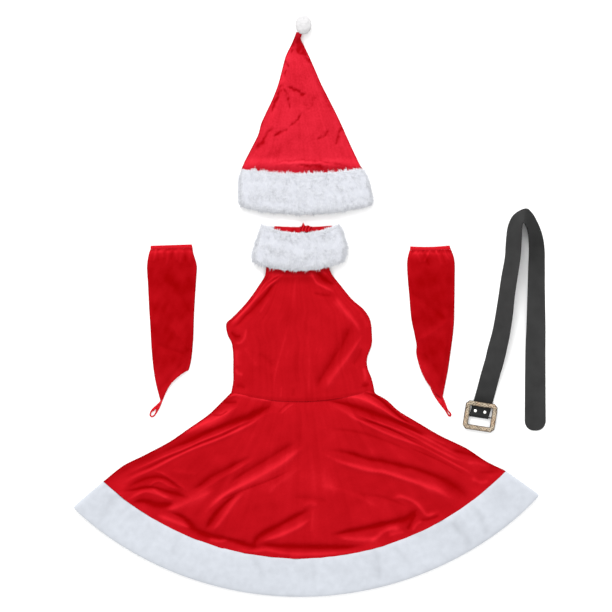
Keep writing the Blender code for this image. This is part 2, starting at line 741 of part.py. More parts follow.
def make_sleeve(side, place, hem, tube, folds, loop):
    sleeve = origin_empty(f"sleeve_{side}_origin", place)
    name = f"sleeve_{side}"
    add_piece(name, flat_tube(name, tube, CLOTH, 0.8, folds, 18, 14, 2.6), sleeve, "velvet")
    hem_name = f"sleeve_{side}_hem"
    add_piece(hem_name, flat_tube(hem_name, hem, 2.0, 0.8, (), 12, 2, 0.4), sleeve, "velvet")
    finger_loop(f"sleeve_{side}_loop", loop, sleeve)


# Belt

def strap_fold():
    """The strap's middle line where it laps the bar, as (distance from the bar, height) pairs."""
    axis = BAR_RADIUS + BAR_PLAY + STRAP
    turn_radius = BAR_RADIUS + BAR_PLAY + STRAP / 2
    upper = 1.5 * STRAP + SEAM
    lower = [(LAP_END, STRAP / 2), (20.0, STRAP / 2), (4.0, STRAP / 2)]
    steps = 12
    loop = [
        (-turn_radius * sin(pi * i / steps), axis - turn_radius * cos(pi * i / steps))
        for i in range(steps + 1)
    ]
    back = [(2.2, 5.4), (4.4, 4.2), (6.2, 3.25), (7.6, upper), (20.0, upper), (32.0, upper)]
    return lower + loop + back


def make_strap(belt):
    """A ruled strap: round the bar, along its run on one edge, over a crease and down to its tip."""
    turn = radians(FRAME_TURN)
    along_bar = Vector((cos(turn), sin(turn), 0))
    from_bar = Vector((-sin(turn), cos(turn), 0))
    lines = []
    for distance, height in strap_fold():
        left = STRAP_AT_BAR[0] + STRAP_LEAN * distance
        right = STRAP_AT_BAR[1] + STRAP_LEAN * distance
        level = Vector((0, 0, height - STRAP / 2))
        lines.append((along_bar * left + from_bar * distance + level, along_bar * right + from_bar * distance + level))
    bar_lines = len(lines)
    steps = 2 * (len(STRAP_RUN) - 1)
    for index in range(steps + 1):
        row = blend(STRAP_RUN, index / steps)
        lines.append((Vector((row.outer_x, row.outer_y, 0)), Vector((row.inner_x, row.inner_y, max(0.0, row.lift)))))
    last = STRAP_RUN[-1]
    middle_x = (last.outer_x + last.inner_x) / 2
    half = (last.outer_x - last.inner_x) / 2
    for index in range(1, 6):
        angle = pi / 2 * index / 5.4
        reach = STRAP_TIP * sin(angle)
        share = cos(angle) ** 0.8
        lines.append((
            Vector((middle_x + half * share, last.outer_y - reach, 0)),
            Vector((middle_x - half * share, last.inner_y - reach, 0)),
        ))
    normals = []
    for index, (outer, inner) in enumerate(lines):
        before = lines[max(index - 1, 0)]
        after = lines[min(index + 1, len(lines) - 1)]
        run = (after[0] + after[1]) - (before[0] + before[1])
        normals.append((inner - outer).cross(run).normalized())

    bm = bmesh.new()
    shares = [0.0, 0.33, 0.67, 1.0]
    rings = []
    for index, ((outer, inner), normal) in enumerate(zip(lines, normals)):
        centred = index < bar_lines
        low = Vector((0, 0, STRAP / 2)) - normal * STRAP / 2 if centred else Vector((0, 0, 0))
        under = [outer.lerp(inner, share) + low for share in shares]
        over = [point + normal * STRAP for point in reversed(under)]
        rings.append([bm.verts.new(point * MM) for point in under + over])
    for ring, following in zip(rings, rings[1:]):
        for side, vert in enumerate(ring):
            other = (side + 1) % len(ring)
            bm.faces.new((vert, ring[other], following[other], following[side]))
    bm.faces.new(rings[0])
    bm.faces.new(rings[-1])
    add_piece("belt_strap", finish_mesh("belt_strap", bm), belt, "leatherette")


def make_rivets(belt):
    """Two domed caps that hold the lapped strap together."""
    turn = radians(FRAME_TURN)
    low = 2 * STRAP + SEAM + 0.35
    height = 1.2
    for number, (along, away) in enumerate(RIVETS, start=1):
        bm = bmesh.new()
        bmesh.ops.create_cone(bm, cap_ends=True, segments=16, radius1=3.2, radius2=2.2, depth=height)
        centre = Vector((along * cos(turn) - away * sin(turn), along * sin(turn) + away * cos(turn), low + height / 2))
        for vert in bm.verts:
            vert.co = (vert.co + centre) * MM
        add_piece(f"rivet_{number}", finish_mesh(f"rivet_{number}", bm), belt, "nickel")


def frame_outline():
    """(outer, inner, drop) round the frame. drop thickens the side bars down to the centre bar."""
    half_w = FRAME_WIDTH / 2
    half_h = FRAME_HEIGHT / 2
    open_w = half_w - FRAME_BAR
    open_h = half_h - FRAME_BAR
    corner = 7.0
    lug = 4.3 - 1.9
    side = [
        ((half_w, -6), (open_w, -6), 0.0),
        ((half_w, -3.2), (open_w, -3.2), lug),
        ((half_w, 3.2), (open_w, 3.2), lug),
        ((half_w, 6), (open_w, 6), 0.0),
        ((half_w, half_h - corner), (open_w, open_h - 0.7), 0.0),
        ((half_w - corner, half_h), (open_w - 0.7, open_h), 0.0),
    ]
    top = [((0.0, half_h), (0.0, open_h), 0.0)]
    quarter_back = [((-o[0], o[1]), (-i[0], i[1]), drop) for o, i, drop in reversed(side)]
    bottom = [
        ((-(half_w - corner), -half_h), (-(open_w - 0.7), -open_h), 0.0),
        ((0.0, -half_h), (0.0, -open_h), 0.0),
        ((half_w - corner, -half_h), (open_w - 0.7, -open_h), 0.0),
    ]
    low_left = [((-half_w, -(half_h - corner)), (-open_w, -(open_h - 0.7)), 0.0)]
    low_right = [((half_w, -(half_h - corner)), (open_w, -(open_h - 0.7)), 0.0)]
    return side + top + quarter_back + low_left + bottom + low_right


def make_buckle():
    """The frame and its centre bar, hung from an empty on the bar's axis."""
    axis = BAR_RADIUS + BAR_PLAY + STRAP
    hinge = origin_empty("buckle_hinge", BUCKLE_AT, axis, FRAME_TURN)
    under = 4.3 - axis
    profile = [
        (0.0, 0.0), (0.0, 0.72), (0.22, 0.94), (0.5, 1.0), (0.78, 0.94), (1.0, 0.70), (1.0, 0.0),
    ]
    bm = bmesh.new()
    rings = []
    for outer, inner, drop in frame_outline():
        ring = []
        for share, up in profile:
            x = inner[0] + (outer[0] - inner[0]) * share
            y = inner[1] + (outer[1] - inner[1]) * share
            z = under + up * FRAME_THICK if up else under - drop
            ring.append(bm.verts.new(Vector((x, y, z)) * MM))
        rings.append(ring)
    for ring, following in zip(rings, rings[1:] + rings[:1]):
        for side in range(len(profile)):
            other = (side + 1) % len(profile)
            bm.faces.new((ring[side], ring[other], following[other], following[side]))
    add_piece("buckle_frame", finish_mesh("buckle_frame", bm), hinge, "antique_brass")

    length = FRAME_WIDTH - 2 * FRAME_BAR - 2 * SEAM
    bm = bmesh.new()
    bmesh.ops.create_cone(bm, cap_ends=True, segments=16, radius1=BAR_RADIUS, radius2=BAR_RADIUS, depth=length)
    for vert in bm.verts:
        vert.co = Vector((vert.co.z, vert.co.x, vert.co.y)) * MM
    add_piece("buckle_bar", finish_mesh("buckle_bar", bm), hinge, "dark_steel")


clear_scene()
COSTUME = new_collection("santa_dress_costume")
make_dress()
make_hat()
make_sleeve("left", SLEEVE_LEFT_AT, HEM_LEFT, SLEEVE_LEFT, SLEEVE_LEFT_FOLDS, LOOP_LEFT)
make_sleeve("right", SLEEVE_RIGHT_AT, HEM_RIGHT, SLEEVE_RIGHT, SLEEVE_RIGHT_FOLDS, LOOP_RIGHT)
BELT = origin_empty("belt_origin", BUCKLE_AT)
make_strap(BELT)
make_rivets(BELT)
make_buckle()
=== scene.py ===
"""Santa dress costume, laid out flat: the looks of its cloth, plush, belt and buckle.

Every piece is built here in millimetres, from its garment's own origin on the floor, with courses
that are nearly those of the part's source, on a finer grid. A crease is a path with its own width,
height and painted light: painted shade in its trough, painted highlight on its ridge. Cloth pieces
carry a value of painted light and pile: painted highlight where the cloth leans towards the key
light, painted shade where it leans away and in the creases, with random variation. It is what
makes a fold light or dark.
"""

from collections import namedtuple
from math import cos, pi, radians, sin, tau

import bpy
import numpy as np
from bpy.props import FloatProperty, FloatVectorProperty, IntProperty, PointerProperty
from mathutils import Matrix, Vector


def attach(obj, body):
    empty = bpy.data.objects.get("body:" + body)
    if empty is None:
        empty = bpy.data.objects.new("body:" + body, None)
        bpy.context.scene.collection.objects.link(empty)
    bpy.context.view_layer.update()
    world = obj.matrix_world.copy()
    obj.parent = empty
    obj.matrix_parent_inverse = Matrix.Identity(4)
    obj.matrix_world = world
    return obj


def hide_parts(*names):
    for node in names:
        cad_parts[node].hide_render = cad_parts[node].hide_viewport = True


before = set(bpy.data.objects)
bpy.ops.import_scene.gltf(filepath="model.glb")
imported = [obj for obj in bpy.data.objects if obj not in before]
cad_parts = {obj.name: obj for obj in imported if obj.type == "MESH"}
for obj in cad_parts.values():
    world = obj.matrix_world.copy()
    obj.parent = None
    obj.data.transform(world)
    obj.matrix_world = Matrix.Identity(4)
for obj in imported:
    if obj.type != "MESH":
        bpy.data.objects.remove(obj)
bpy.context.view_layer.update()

bl_info = {
    "name": "Santa dress costume",
    "version": (1, 0, 0),
    "blender": (4, 5, 0),
    "location": "3D View > Sidebar > Costume",
    "description": "Builds a halter dress, hat, arm sleeves and belt, laid out flat",
    "category": "Object",
}

MM = 0.001

Place = namedtuple("Place", "x y")
Course = namedtuple("Course", "left_x left_y right_x right_y sag")
# A crease's second number is painted light: painted shade in a trough, below 0, painted highlight on a ridge,
# above 0
Crease = namedtuple("Crease", "height tone path")   # path: (x, y, half width) at each bend
Station = namedtuple("Station", "outer_x outer_y inner_x inner_y lift")
Bend = namedtuple("Bend", "x y half")

# Sizes of the solids, in millimetres
CLOTH = 1.4
SEAM = 0.3            # between sewn pieces, and between layers
FUR_BACK = 5.6        # height of the collar's and brim's lower half
COLLAR_HEIGHT = 24.0
BRIM_HEIGHT = 22.0
TRIM_BACK = 5.0       # height of the hem trim's lower half
TRIM_HEIGHT = 12.0
POMPOM = (26.4, 33.0, 25.0)   # its core, across, along and up
LOCK = 3.6            # the pompom's locks
LOOP_THICK = 3.0
STRAP = 1.8           # the strap's thickness
BAR_RADIUS = 1.25
BAR_PLAY = 0.3        # between the bar and the strap round it
FRAME_WIDTH = 67.0
FRAME_HEIGHT = 60.0
FRAME_BAR = 10.0
FRAME_THICK = 5.0
FRAME_TURN = -9.0     # degrees, how the buckle lies on the floor
FRONT_REST = CLOTH + SEAM / 2   # where a front starts, just clear of its back

# Sizes that only the looks use, in millimetres
SKIRT_LENGTH = 330.0  # from the waist to the hem trim
HEM_LENGTH = 900.0    # along the hem's seam
PILE = 4.0            # how far the long locks rise above their pillow
TUBE_SPACE = 0.8      # between the two layers of a sleeve
FRAME_LOW = 4.3       # the buckle frame's underside, off the floor
FRAME_STEP = 0.7      # between the sections of the frame's relief

# The photograph: its side in pixels, a pixel's size, and where its middle lies on the floor
PHOTO_SIDE = 612
PHOTO_PIXEL = 2.1
PHOTO_MIDDLE = Place(-9.2, 0.9)

# Where each garment's origin lies on the floor
DRESS_AT = Place(-26.0, -196.5)
HAT_AT = Place(-18.0, 286.5)
SLEEVE_LEFT_AT = Place(-293.0, 128.5)
SLEEVE_RIGHT_AT = Place(251.0, 126.5)
BUCKLE_AT = Place(356.0, -230.5)

# Dress: from the waist seam's middle
SKIRT = [
    Course(-140, 16, 160, 22, 21),
    Course(-148, 8, 163, 13.5, 24),
    Course(-164, -8, 186, 0, 30),
    Course(-188, -31, 213, -24, 43),
    Course(-228, -59, 253, -48, 66),
    Course(-271, -88.5, 297, -74, 88),
    Course(-326, -117.5, 353, -101, 124),
    Course(-367, -138, 394, -128, 148),
    Course(-406, -169, 433.5, -147.5, 171.5),
]
HEM = [
    Course(-408, -170, 435, -148, 171.5),
    Course(-441, -198, 472, -174, 186),
    Course(-473.5, -226, 508.5, -200.5, 199),
]
BODICE = [
    Course(-140, 16.3, 160, 22.3, 21),
    Course(-136, 40, 154.5, 45, 10),
    Course(-136, 66, 146, 68, 4),
    Course(-136, 92, 145, 88, 1),
    Course(-139, 119, 154.5, 116, 0),
    Course(-148, 138, 155, 140, 0),
    Course(-150.5, 160, 153, 162, 0),
    Course(-138, 173, 148, 176, 0),
    Course(-121, 190, 136, 192, 0),
    Course(-102, 212, 113, 212, 0),
    Course(-83, 239, 90, 240, 0),
    Course(-69, 262, 71, 264, 2),
]
BODICE_FRONT_TOP = Course(-67, 289, 62, 289, 10)
BODICE_BACK_TOP = Course(-67, 281.8, 62, 281.6, 6.1)
COLLAR_FRONT = [
    Course(-93, 288.5, 97, 291, 17.5),
    Course(-98.5, 302, 103, 303, 17),
    Course(-94, 322, 105, 324, 18),
    Course(-86, 346, 98, 349, 19),
    Course(-78.5, 371, 87, 371.5, 21),
]
COLLAR_BACK = [
    Course(-92, 289, 95, 291, 13),
    Course(-96, 304, 100, 304, 12),
    Course(-92, 322, 102, 324, 9),
    Course(-85, 345, 95, 348, 6),
    Course(-77.5, 369.5, 86.5, 370, 4.5),
]
NECK_LINING = [Course(-72, 300, 84, 300, 0), Course(-49, 365, 70.5, 366, 2.6)]
CLOSURE = [Course(3, 353.4, 29, 352.4, 0), Course(3, 362.5, 29, 363.5, -3)]

# In these tables a crease's second number is painted shade (below 0) in a trough and painted highlight (above
# 0) on a ridge
BODICE_CREASES = [
    Crease(0.9, 0.2, (
        (-34, 266, 1.6), (-52, 256, 1.8), (-70, 242, 1.8), (-86, 225, 1.8), (-98, 208, 1.4))),
    Crease(-0.8, -0.26, ((-34, 262, 1.4), (-56, 248, 1.4), (-74, 230, 1.4), (-90, 212, 1.2))),
    Crease(2.6, 0.38, (
        (-26, 268, 2.5), (-46, 251, 3.5), (-64, 238, 4), (-80, 222, 4), (-94, 206, 4), (-110, 188, 5),
        (-128, 170, 6), (-144, 152, 4))),
    Crease(-3.4, -0.41, (
        (-36, 250, 4), (-52, 240, 5), (-64, 224, 6), (-80, 206, 6.5), (-96, 188, 7), (-110, 176, 6),
        (-124, 160, 5), (-138, 150, 3))),
    Crease(0.8, 0.15, ((-58, 216, 3), (-68, 200, 4), (-80, 180, 3))),
    Crease(-1.6, -0.38, ((-142, 145, 4), (-130, 133, 6), (-118, 134, 4))),
    Crease(1.4, 0.32, ((-134, 119, 3), (-120, 120, 4), (-111, 132, 3.5), (-108, 152, 2.5))),
    Crease(0.8, 0.2, ((-126, 108, 6), (-128, 88, 7), (-124, 70, 6))),
    Crease(1.4, 0.32, ((-131, 66, 3), (-126, 56, 5), (-114, 52, 4))),
    Crease(-1.2, -0.28, ((-131, 30, 4), (-120, 29, 6), (-110, 24, 3))),
    Crease(0.8, 0.11, ((-114, 112, 4), (-100, 90, 6), (-84, 66, 4))),
    Crease(-0.8, -0.14, ((-84, 98, 6), (-66, 86, 9), (-48, 66, 5))),
    Crease(0.3, 0.1, ((2, 268, 3), (-7, 236, 4), (-10, 205, 4), (-12, 186, 2.5))),
    Crease(0.4, 0.14, (
        (-18, 162, 3), (-28, 126, 3.5), (-37, 95, 3), (-45, 66, 2.5), (-50, 40, 3), (-52, 10, 2.5))),
    Crease(0.4, 0.14, ((22, 164, 3), (22, 120, 4), (23, 80, 4), (24, 40, 3.5), (24, 4, 2.5))),
    Crease(-0.4, -0.09, ((-4, 112, 10), (-6, 70, 12), (-6, 30, 10))),
    Crease(-0.4, -0.14, ((-8, 26, 4), (-9, 16, 4), (-10, 6, 4))),
    Crease(0.3, 0.11, ((-34, 30, 2.4), (-35, 16, 2.4), (-36, 4, 2.4))),
    Crease(2.2, 0.41, ((24, 272, 2.5), (31, 257, 4), (42, 243, 4), (58, 235, 4), (78, 225, 3))),
    Crease(-3.0, -0.41, ((36, 272, 4), (48, 259, 6), (62, 248, 7), (80, 240, 4))),
    Crease(0.8, 0.28, ((46, 274, 2.4), (54, 268, 2.4), (60, 262, 2))),
    Crease(-1.4, -0.26, ((32, 224, 3), (50, 220, 5), (72, 218, 4))),
    Crease(2.4, 0.38, (
        (78, 220, 5), (86, 202, 7), (96, 188, 7), (108, 175, 6), (122, 158, 5), (132, 138, 3))),
    Crease(0.8, 0.14, ((128, 180, 8), (142, 166, 7), (146, 150, 4))),
    Crease(-3.0, -0.28, (
        (116, 164, 6), (106, 142, 9), (94, 116, 11), (78, 92, 11), (62, 66, 10), (46, 40, 8), (40, 20, 5))),
    Crease(3.0, 0.28, (
        (136, 136, 2.5), (123, 116, 5), (109, 94, 6), (94, 74, 8), (79, 55, 9), (66, 36, 10), (56, 16, 6))),
    Crease(-1.6, -0.23, ((134, 110, 5), (128, 92, 7), (116, 72, 5))),
    Crease(1.6, 0.32, ((138, 68, 3), (141, 52, 5), (140, 36, 3.5))),
    Crease(-1.4, -0.34, ((132, 30, 3), (142, 30, 5), (150, 34, 3))),
]
SKIRT_CREASES = [
    # left, from the waist down to the hem
    Crease(2.4, 0.31, ((-152, 3, 3), (-132, 10, 5), (-108, 8, 6), (-78, 1, 5), (-50, -4, 3))),
    Crease(-1.5, -0.33, ((-158, -3, 4), (-142, -6, 6), (-126, -5, 4))),
    Crease(2.5, 0.48, (
        (-120, -10, 5), (-150, -28, 8), (-180, -44, 11), (-200, -51, 11), (-222, -61, 8), (-254, -78, 4))),
    Crease(-1.0, -0.39, ((-180, -31, 2), (-162, -32, 2), (-146, -22, 2))),
    Crease(-4.2, -0.6, (
        (-48, -8, 8), (-66, -18, 11), (-100, -35, 10), (-140, -49, 9), (-160, -57, 8), (-200, -73, 7.5),
        (-240, -90, 6.5), (-288, -109, 4))),
    Crease(1.4, 0.24, (
        (-78, -35, 2), (-116, -49, 2), (-160, -69, 2.2), (-200, -85, 2.4), (-240, -103, 2.4),
        (-280, -119, 2.4), (-320, -137, 2.6), (-364, -157, 2.4))),
    Crease(-1.2, -0.33, (
        (-76, -38, 1.8), (-120, -56, 2), (-160, -75, 2.4), (-200, -90, 2.4), (-240, -108, 2.4),
        (-280, -125.5, 2.6), (-320, -145, 2.8), (-374, -166, 2.6))),
    Crease(2.0, 0.34, (
        (-42, -21, 8), (-72, -32, 7), (-100, -51, 5), (-140, -71, 4), (-180, -88, 4), (-220, -103, 4),
        (-260, -122, 4), (-300, -143, 4.5), (-340, -161, 5), (-378, -180, 5))),
    Crease(0.6, 0.13, ((-36, -31, 2), (-22, -17, 2), (-8, -8, 2))),
    Crease(-0.6, -0.15, ((-42, -28, 2), (-28, -14, 2), (-16, -6, 2))),
    Crease(-2.2, -0.31, (
        (0, -86, 5), (-30, -103, 9), (-62, -123, 9), (-92, -141, 8), (-120, -158, 7), (-148, -179, 6))),
    Crease(-2.2, -0.33, (
        (-98, -117, 4), (-122, -130, 6), (-152, -146, 8), (-182, -161, 9), (-204, -178, 8),
        (-224, -189, 5))),
    Crease(1.2, 0.11, (
        (-84, -118, 4), (-120, -141, 4), (-158, -162, 5), (-190, -182, 6), (-216, -200, 8))),
    Crease(2.2, 0.33, (
        (-172, -188, 8), (-200, -202, 11), (-228, -214, 12), (-256, -226, 8), (-278, -231, 4))),
    Crease(0.8, 0.11, ((-210, -156, 5), (-236, -153, 6), (-264, -148, 5))),
    Crease(3.4, 0.44, (
        (18, -96, 3), (-6, -112, 7), (-30, -131, 9), (-62, -150, 11), (-92, -167, 9), (-124, -183, 6),
        (-150, -197, 5), (-176, -218, 6), (-198, -242, 5))),
    Crease(-0.9, -0.33, (
        (-18, -147, 2), (-44, -161, 2), (-76, -174, 2), (-108, -186, 2), (-140, -200, 1.6),
        (-160, -209, 1.4))),
    Crease(0.6, 0.13, ((10, -138, 5), (-16, -158, 8), (-44, -178, 6), (-64, -199, 5))),
    Crease(-3.0, -0.55, (
        (-122, -194, 3), (-146, -212, 5), (-166, -232, 6.5), (-182, -253, 7), (-195, -275, 5))),
    Crease(2.2, 0.31, (
        (-112, -194, 4), (-132, -214, 6), (-148, -236, 6), (-164, -258, 6), (-181, -277, 4))),
    Crease(-3.2, -0.64, (
        (-284, -232, 3), (-256, -239, 4), (-234, -252, 6), (-216, -272, 9), (-190, -284, 8),
        (-154, -291, 5), (-120, -300, 6), (-92, -308, 7), (-68, -304, 4))),
    Crease(2.2, 0.39, ((-296, -241, 4), (-268, -252, 5), (-244, -261, 5), (-224, -269, 4))),
    Crease(1.6, 0.34, ((-188, -291, 3), (-166, -296, 4), (-144, -293, 3))),
    # the left tip
    Crease(1.4, 0.24, (
        (-304, -149, 2), (-286, -153, 2.4), (-266, -165, 2.4), (-246, -179, 2.4), (-228, -192, 2))),
    Crease(1.4, 0.22, (
        (-316, -184, 2), (-300, -172, 3), (-286, -171, 3), (-268, -181, 2.6), (-248, -187, 2))),
    Crease(2.0, 0.37, (
        (-360, -212, 3), (-336, -198, 4.5), (-318, -192, 5), (-300, -195, 4.5), (-280, -203, 4),
        (-254, -212, 4))),
    Crease(0.9, 0.18, ((-306, -186, 1.6), (-290, -196, 2), (-272, -206, 2))),
    Crease(-1.6, -0.35, (
        (-368, -191, 4), (-340, -174, 6), (-310, -163, 6), (-284, -163, 6), (-262, -174, 5),
        (-242, -191, 4))),
    Crease(-1.8, -0.44, (
        (-382, -192, 3), (-346, -189, 4), (-322, -184, 4), (-300, -184, 3), (-276, -192, 5),
        (-246, -200, 6), (-224, -209, 3))),
    Crease(-3.2, -0.64, (
        (-348, -214, 4), (-322, -213, 7), (-300, -220, 10), (-280, -221, 8), (-258, -217, 4))),
    Crease(-0.8, -0.11, ((-250, -95, 4), (-320, -125, 6), (-384, -157, 5))),
    # the middle, down to the hem
    Crease(0.0, -0.12, ((-352, -156, 34), (-260, -152, 40), (-170, -116, 34))),
    Crease(0.0, 0.08, ((-80, -206, 40), (0, -158, 50), (80, -206, 40))),
    Crease(-0.8, -0.14, ((-14, -204, 5), (30, -206, 6), (64, -213, 5))),
    Crease(0.8, 0.11, ((48, -164, 6), (66, -182, 12), (82, -202, 8))),
    Crease(-3.4, -0.6, (
        (30, -226, 4), (4, -240, 7), (-22, -254, 8), (-46, -267, 8), (-70, -279, 8), (-88, -294, 8),
        (-93, -315, 6))),
    Crease(2.4, 0.37, ((28, -248, 4), (4, -265, 6), (-22, -278, 6), (-48, -288, 5), (-80, -297, 4))),
    Crease(-2.6, -0.58, (
        (-88, -301, 5), (-50, -306, 7), (0, -308, 8), (50, -309, 8), (100, -309, 7), (144, -304, 4))),
    Crease(1.2, 0.15, ((8, -225, 4), (26, -217, 5), (42, -223, 4))),
    Crease(0.5, 0.13, ((31, -230, 3), (30, -254, 3), (27, -280, 3))),
    Crease(1.6, 0.31, (
        (-140, -308, 3), (-100, -316, 3), (-62, -315, 5), (-30, -321, 4), (20, -323, 4), (80, -320, 4),
        (136, -314, 3))),
    # right, from the waist down to the hem
    Crease(2.6, 0.39, (
        (80, 2, 2), (108, 6, 5), (130, 3, 7), (150, -5, 6), (176, -19, 4.5), (204, -37, 3.5), (232, -50, 3),
        (260, -62, 2.4))),
    Crease(1.0, 0.24, ((106, 9, 2), (128, 13, 3), (144, 17, 3), (160, 12, 2))),
    Crease(-1.8, -0.55, (
        (136, 16, 2.4), (160, 9, 3), (178, -4, 3), (196, -20, 3), (220, -40, 2.5), (244, -54, 2))),
    Crease(0.9, 0.18, ((150, 18, 1.6), (178, 3, 1.8), (198, -12, 1.8), (222, -33, 1.8), (250, -50, 2))),
    Crease(-4.2, -0.6, (
        (52, 1, 3), (88, -6, 6), (122, -16, 9), (152, -27, 9), (184, -38, 8), (216, -51, 6.5),
        (246, -63, 5), (282, -79, 3))),
    Crease(1.4, 0.25, (
        (90, -16, 1.6), (128, -33, 2), (160, -44, 2), (190, -55, 2), (220, -67, 2.4), (246, -80, 2.6),
        (270, -93, 2.6), (300, -109, 2.4), (336, -126, 2.6), (368, -134, 3))),
    Crease(-1.2, -0.35, (
        (96, -25, 1.6), (136, -42, 2), (190, -60, 2.2), (236, -84, 2.2), (282, -107, 2.2), (324, -129, 2.4),
        (364, -149, 2))),
    Crease(2.0, 0.34, (
        (58, -10, 4), (84, -18, 7), (106, -30, 6), (133, -46, 4.5), (164, -61, 4), (196, -75, 4),
        (226, -86, 4), (258, -97, 4), (284, -110, 3.6), (308, -123, 3.4), (334, -138, 3),
        (360, -153, 4), (382, -172, 5))),
    Crease(1.2, 0.22, ((258, -72, 4), (284, -84, 7), (312, -93, 6))),
    Crease(-0.6, -0.3, (
        (99, -20, 1.2), (145, -41, 1.6), (183, -58, 1.4), (228, -75, 1.6), (270, -90, 1.2))),
    Crease(-0.6, -0.26, ((186, -34, 1.4), (238, -62, 1.8), (284, -84, 1.8), (330, -108, 1.4))),
    Crease(0.5, 0.2, ((200, -48, 1.4), (246, -70, 1.8), (296, -96, 1.8), (344, -122, 1.4))),
    Crease(-0.6, -0.24, ((232, -100, 1.6), (274, -117, 2), (318, -138, 2), (352, -158, 1.4))),
    Crease(-0.5, -0.2, ((60, -60, 3), (120, -66, 4), (180, -84, 4), (236, -108, 3))),
    Crease(-0.5, -0.18, ((120, -196, 3), (180, -204, 4), (230, -224, 3))),
    Crease(0.4, 0.12, ((40, -176, 4), (110, -196, 5), (170, -226, 4))),
    Crease(-1.4, -0.38, ((320, -105, 3), (344, -110, 6), (368, -116, 5), (386, -121, 3))),
    Crease(1.2, 0.21, ((354, -134, 4), (376, -133, 6), (406, -140, 5))),
    Crease(1.4, 0.25, ((362, -164, 5), (384, -174, 6), (400, -170, 4))),
    Crease(-0.8, -0.22, ((378, -152, 3), (402, -152, 4), (424, -148, 4))),
    Crease(-2.8, -0.5, (
        (42, -105, 3), (84, -107, 5), (116, -114, 6), (146, -124, 7), (182, -130, 8), (214, -138, 8),
        (246, -145, 7), (276, -156, 8), (306, -168, 11), (332, -184, 14), (352, -200, 10), (366, -210, 5))),
    Crease(3.4, 0.43, (
        (50, -112, 2), (84, -129, 5), (112, -138, 6), (146, -147, 6), (180, -152, 5), (212, -162, 5),
        (240, -171, 6), (266, -181, 8), (288, -189, 9), (310, -200, 8), (336, -213, 5))),
    Crease(2.4, 0.37, (
        (192, -210, 3), (212, -203, 4.5), (228, -207, 4.5), (246, -216, 4.5), (260, -231, 5),
        (270, -242, 4.5), (284, -239, 4), (298, -233, 2.4))),
    Crease(-1.2, -0.33, ((254, -253, 3), (276, -250, 4), (298, -242, 3))),
    Crease(-3.6, -0.61, (
        (254, -222, 5), (242, -238, 9), (224, -251, 8), (192, -258, 6), (162, -265, 7), (130, -272, 7),
        (96, -278, 5), (64, -284, 3))),
    Crease(-1.6, -0.33, ((247, -238, 3), (238, -256, 5), (229, -274, 4))),
    Crease(2.0, 0.39, ((148, -302, 5), (166, -288, 6), (182, -275, 6), (200, -270, 6), (218, -272, 5))),
    Crease(1.2, 0.25, ((188, -285, 4), (206, -280, 5), (224, -277, 3))),
    Crease(1.4, 0.3, ((239, -276, 2.5), (248, -262, 3.5), (262, -253, 3))),
    Crease(1.8, 0.33, ((82, -289, 3), (112, -292, 5), (140, -293, 6), (168, -291, 5))),
]
# The dents carry painted shade on the hem's plush
HEM_DENTS = [
    Crease(-1.6, -0.5, ((156, -310, 7), (166, -340, 9), (174, -376, 6))),
    Crease(-1.2, -0.35, ((200, -306, 7), (221, -330, 9), (242, -356, 7))),
    Crease(-2.0, -0.5, ((320, -254, 8), (345, -281, 11), (366, -308, 8))),
    Crease(-1.8, -0.4, ((374, -224, 6), (386, -256, 8), (398, -286, 7))),
    Crease(-2.0, -0.3, ((410, -170, 10), (422, -202, 13), (434, -234, 10))),
    Crease(-1.4, -0.35, ((-104, -322, 7), (-85, -346, 8), (-66, -372, 7))),
    Crease(-1.6, -0.4, ((-380, -190, 8), (-398, -222, 11), (-412, -256, 8))),
    Crease(-1.2, -0.35, ((-242, -270, 6), (-255, -300, 8), (-264, -328, 6))),
    Crease(-1.0, -0.25, ((30, -328, 6), (33, -356, 7), (34, -384, 6)))
]
COLLAR_LUMPS = [
    Crease(1.4, 0, ((-84, 338, 12), (-30, 318, 16), (20, 298, 12))),
    Crease(-1.2, 0, ((-40, 348, 8), (14, 338, 10), (70, 330, 8))),
    Crease(1.2, 0, ((20, 312, 10), (60, 318, 13), (100, 320, 10))),
    Crease(-1.0, 0, ((-60, 358, 8), (-72, 328, 8), (-86, 294, 8))),
]

# Hat: from the middle of the brim's top edge
HAT = [
    Course(-121, 15, 119.6, 15, 5),
    Course(-106, 45, 105.5, 45, 2),
    Course(-92, 73, 92.8, 73, 0),
    Course(-85, 98, 81.7, 98, 0),
    Course(-74, 122, 70.2, 122, 0),
    Course(-60, 152, 55, 152, 0),
    Course(-49.5, 180, 40.8, 180, 0),
    Course(-42, 208, 28.8, 208, 0),
    Course(-34, 238, 15.5, 238, 0),
    Course(-23.5, 260, 5, 260, 0),
    Course(-16.5, 275, -2.2, 275, 0),
    Course(-11.5, 287.5, 3, 286.5, -1),
]
HAT_FRONT_BASE = Course(-127, -5, 127.5, -4, 10)
HAT_BACK_BASE = Course(-127, 1.6, 127.5, 2.6, 10)
BRIM_FRONT = [
    Course(-130, -78, 149, -74, 18),
    Course(-135, -62, 151.5, -62, 15),
    Course(-136, -40, 147, -40, 13),
    Course(-134, -18, 141, -17, 12),
    Course(-127.5, 2.5, 130, 3.5, 11),
]
BRIM_BACK = [
    Course(-129, -77, 148, -73, 18),
    Course(-134, -60, 150, -60, 14),
    Course(-135, -38, 145, -38, 12),
    Course(-127.5, 1.2, 130, 2.2, 10),
]
BRIM_LUMPS = [
    Crease(1.2, 0, ((-126, -30, 12), (-64, -36, 16), (0, -42, 12))),
    Crease(1.2, 0, ((-6, -18, 12), (56, -27, 15), (116, -36, 12))),
    Crease(1.0, 0, ((46, -62, 10), (94, -55, 14), (142, -48, 10))),
    Crease(-1.0, 0, ((-100, -64, 10), (-36, -69, 12), (26, -74, 10))),
]
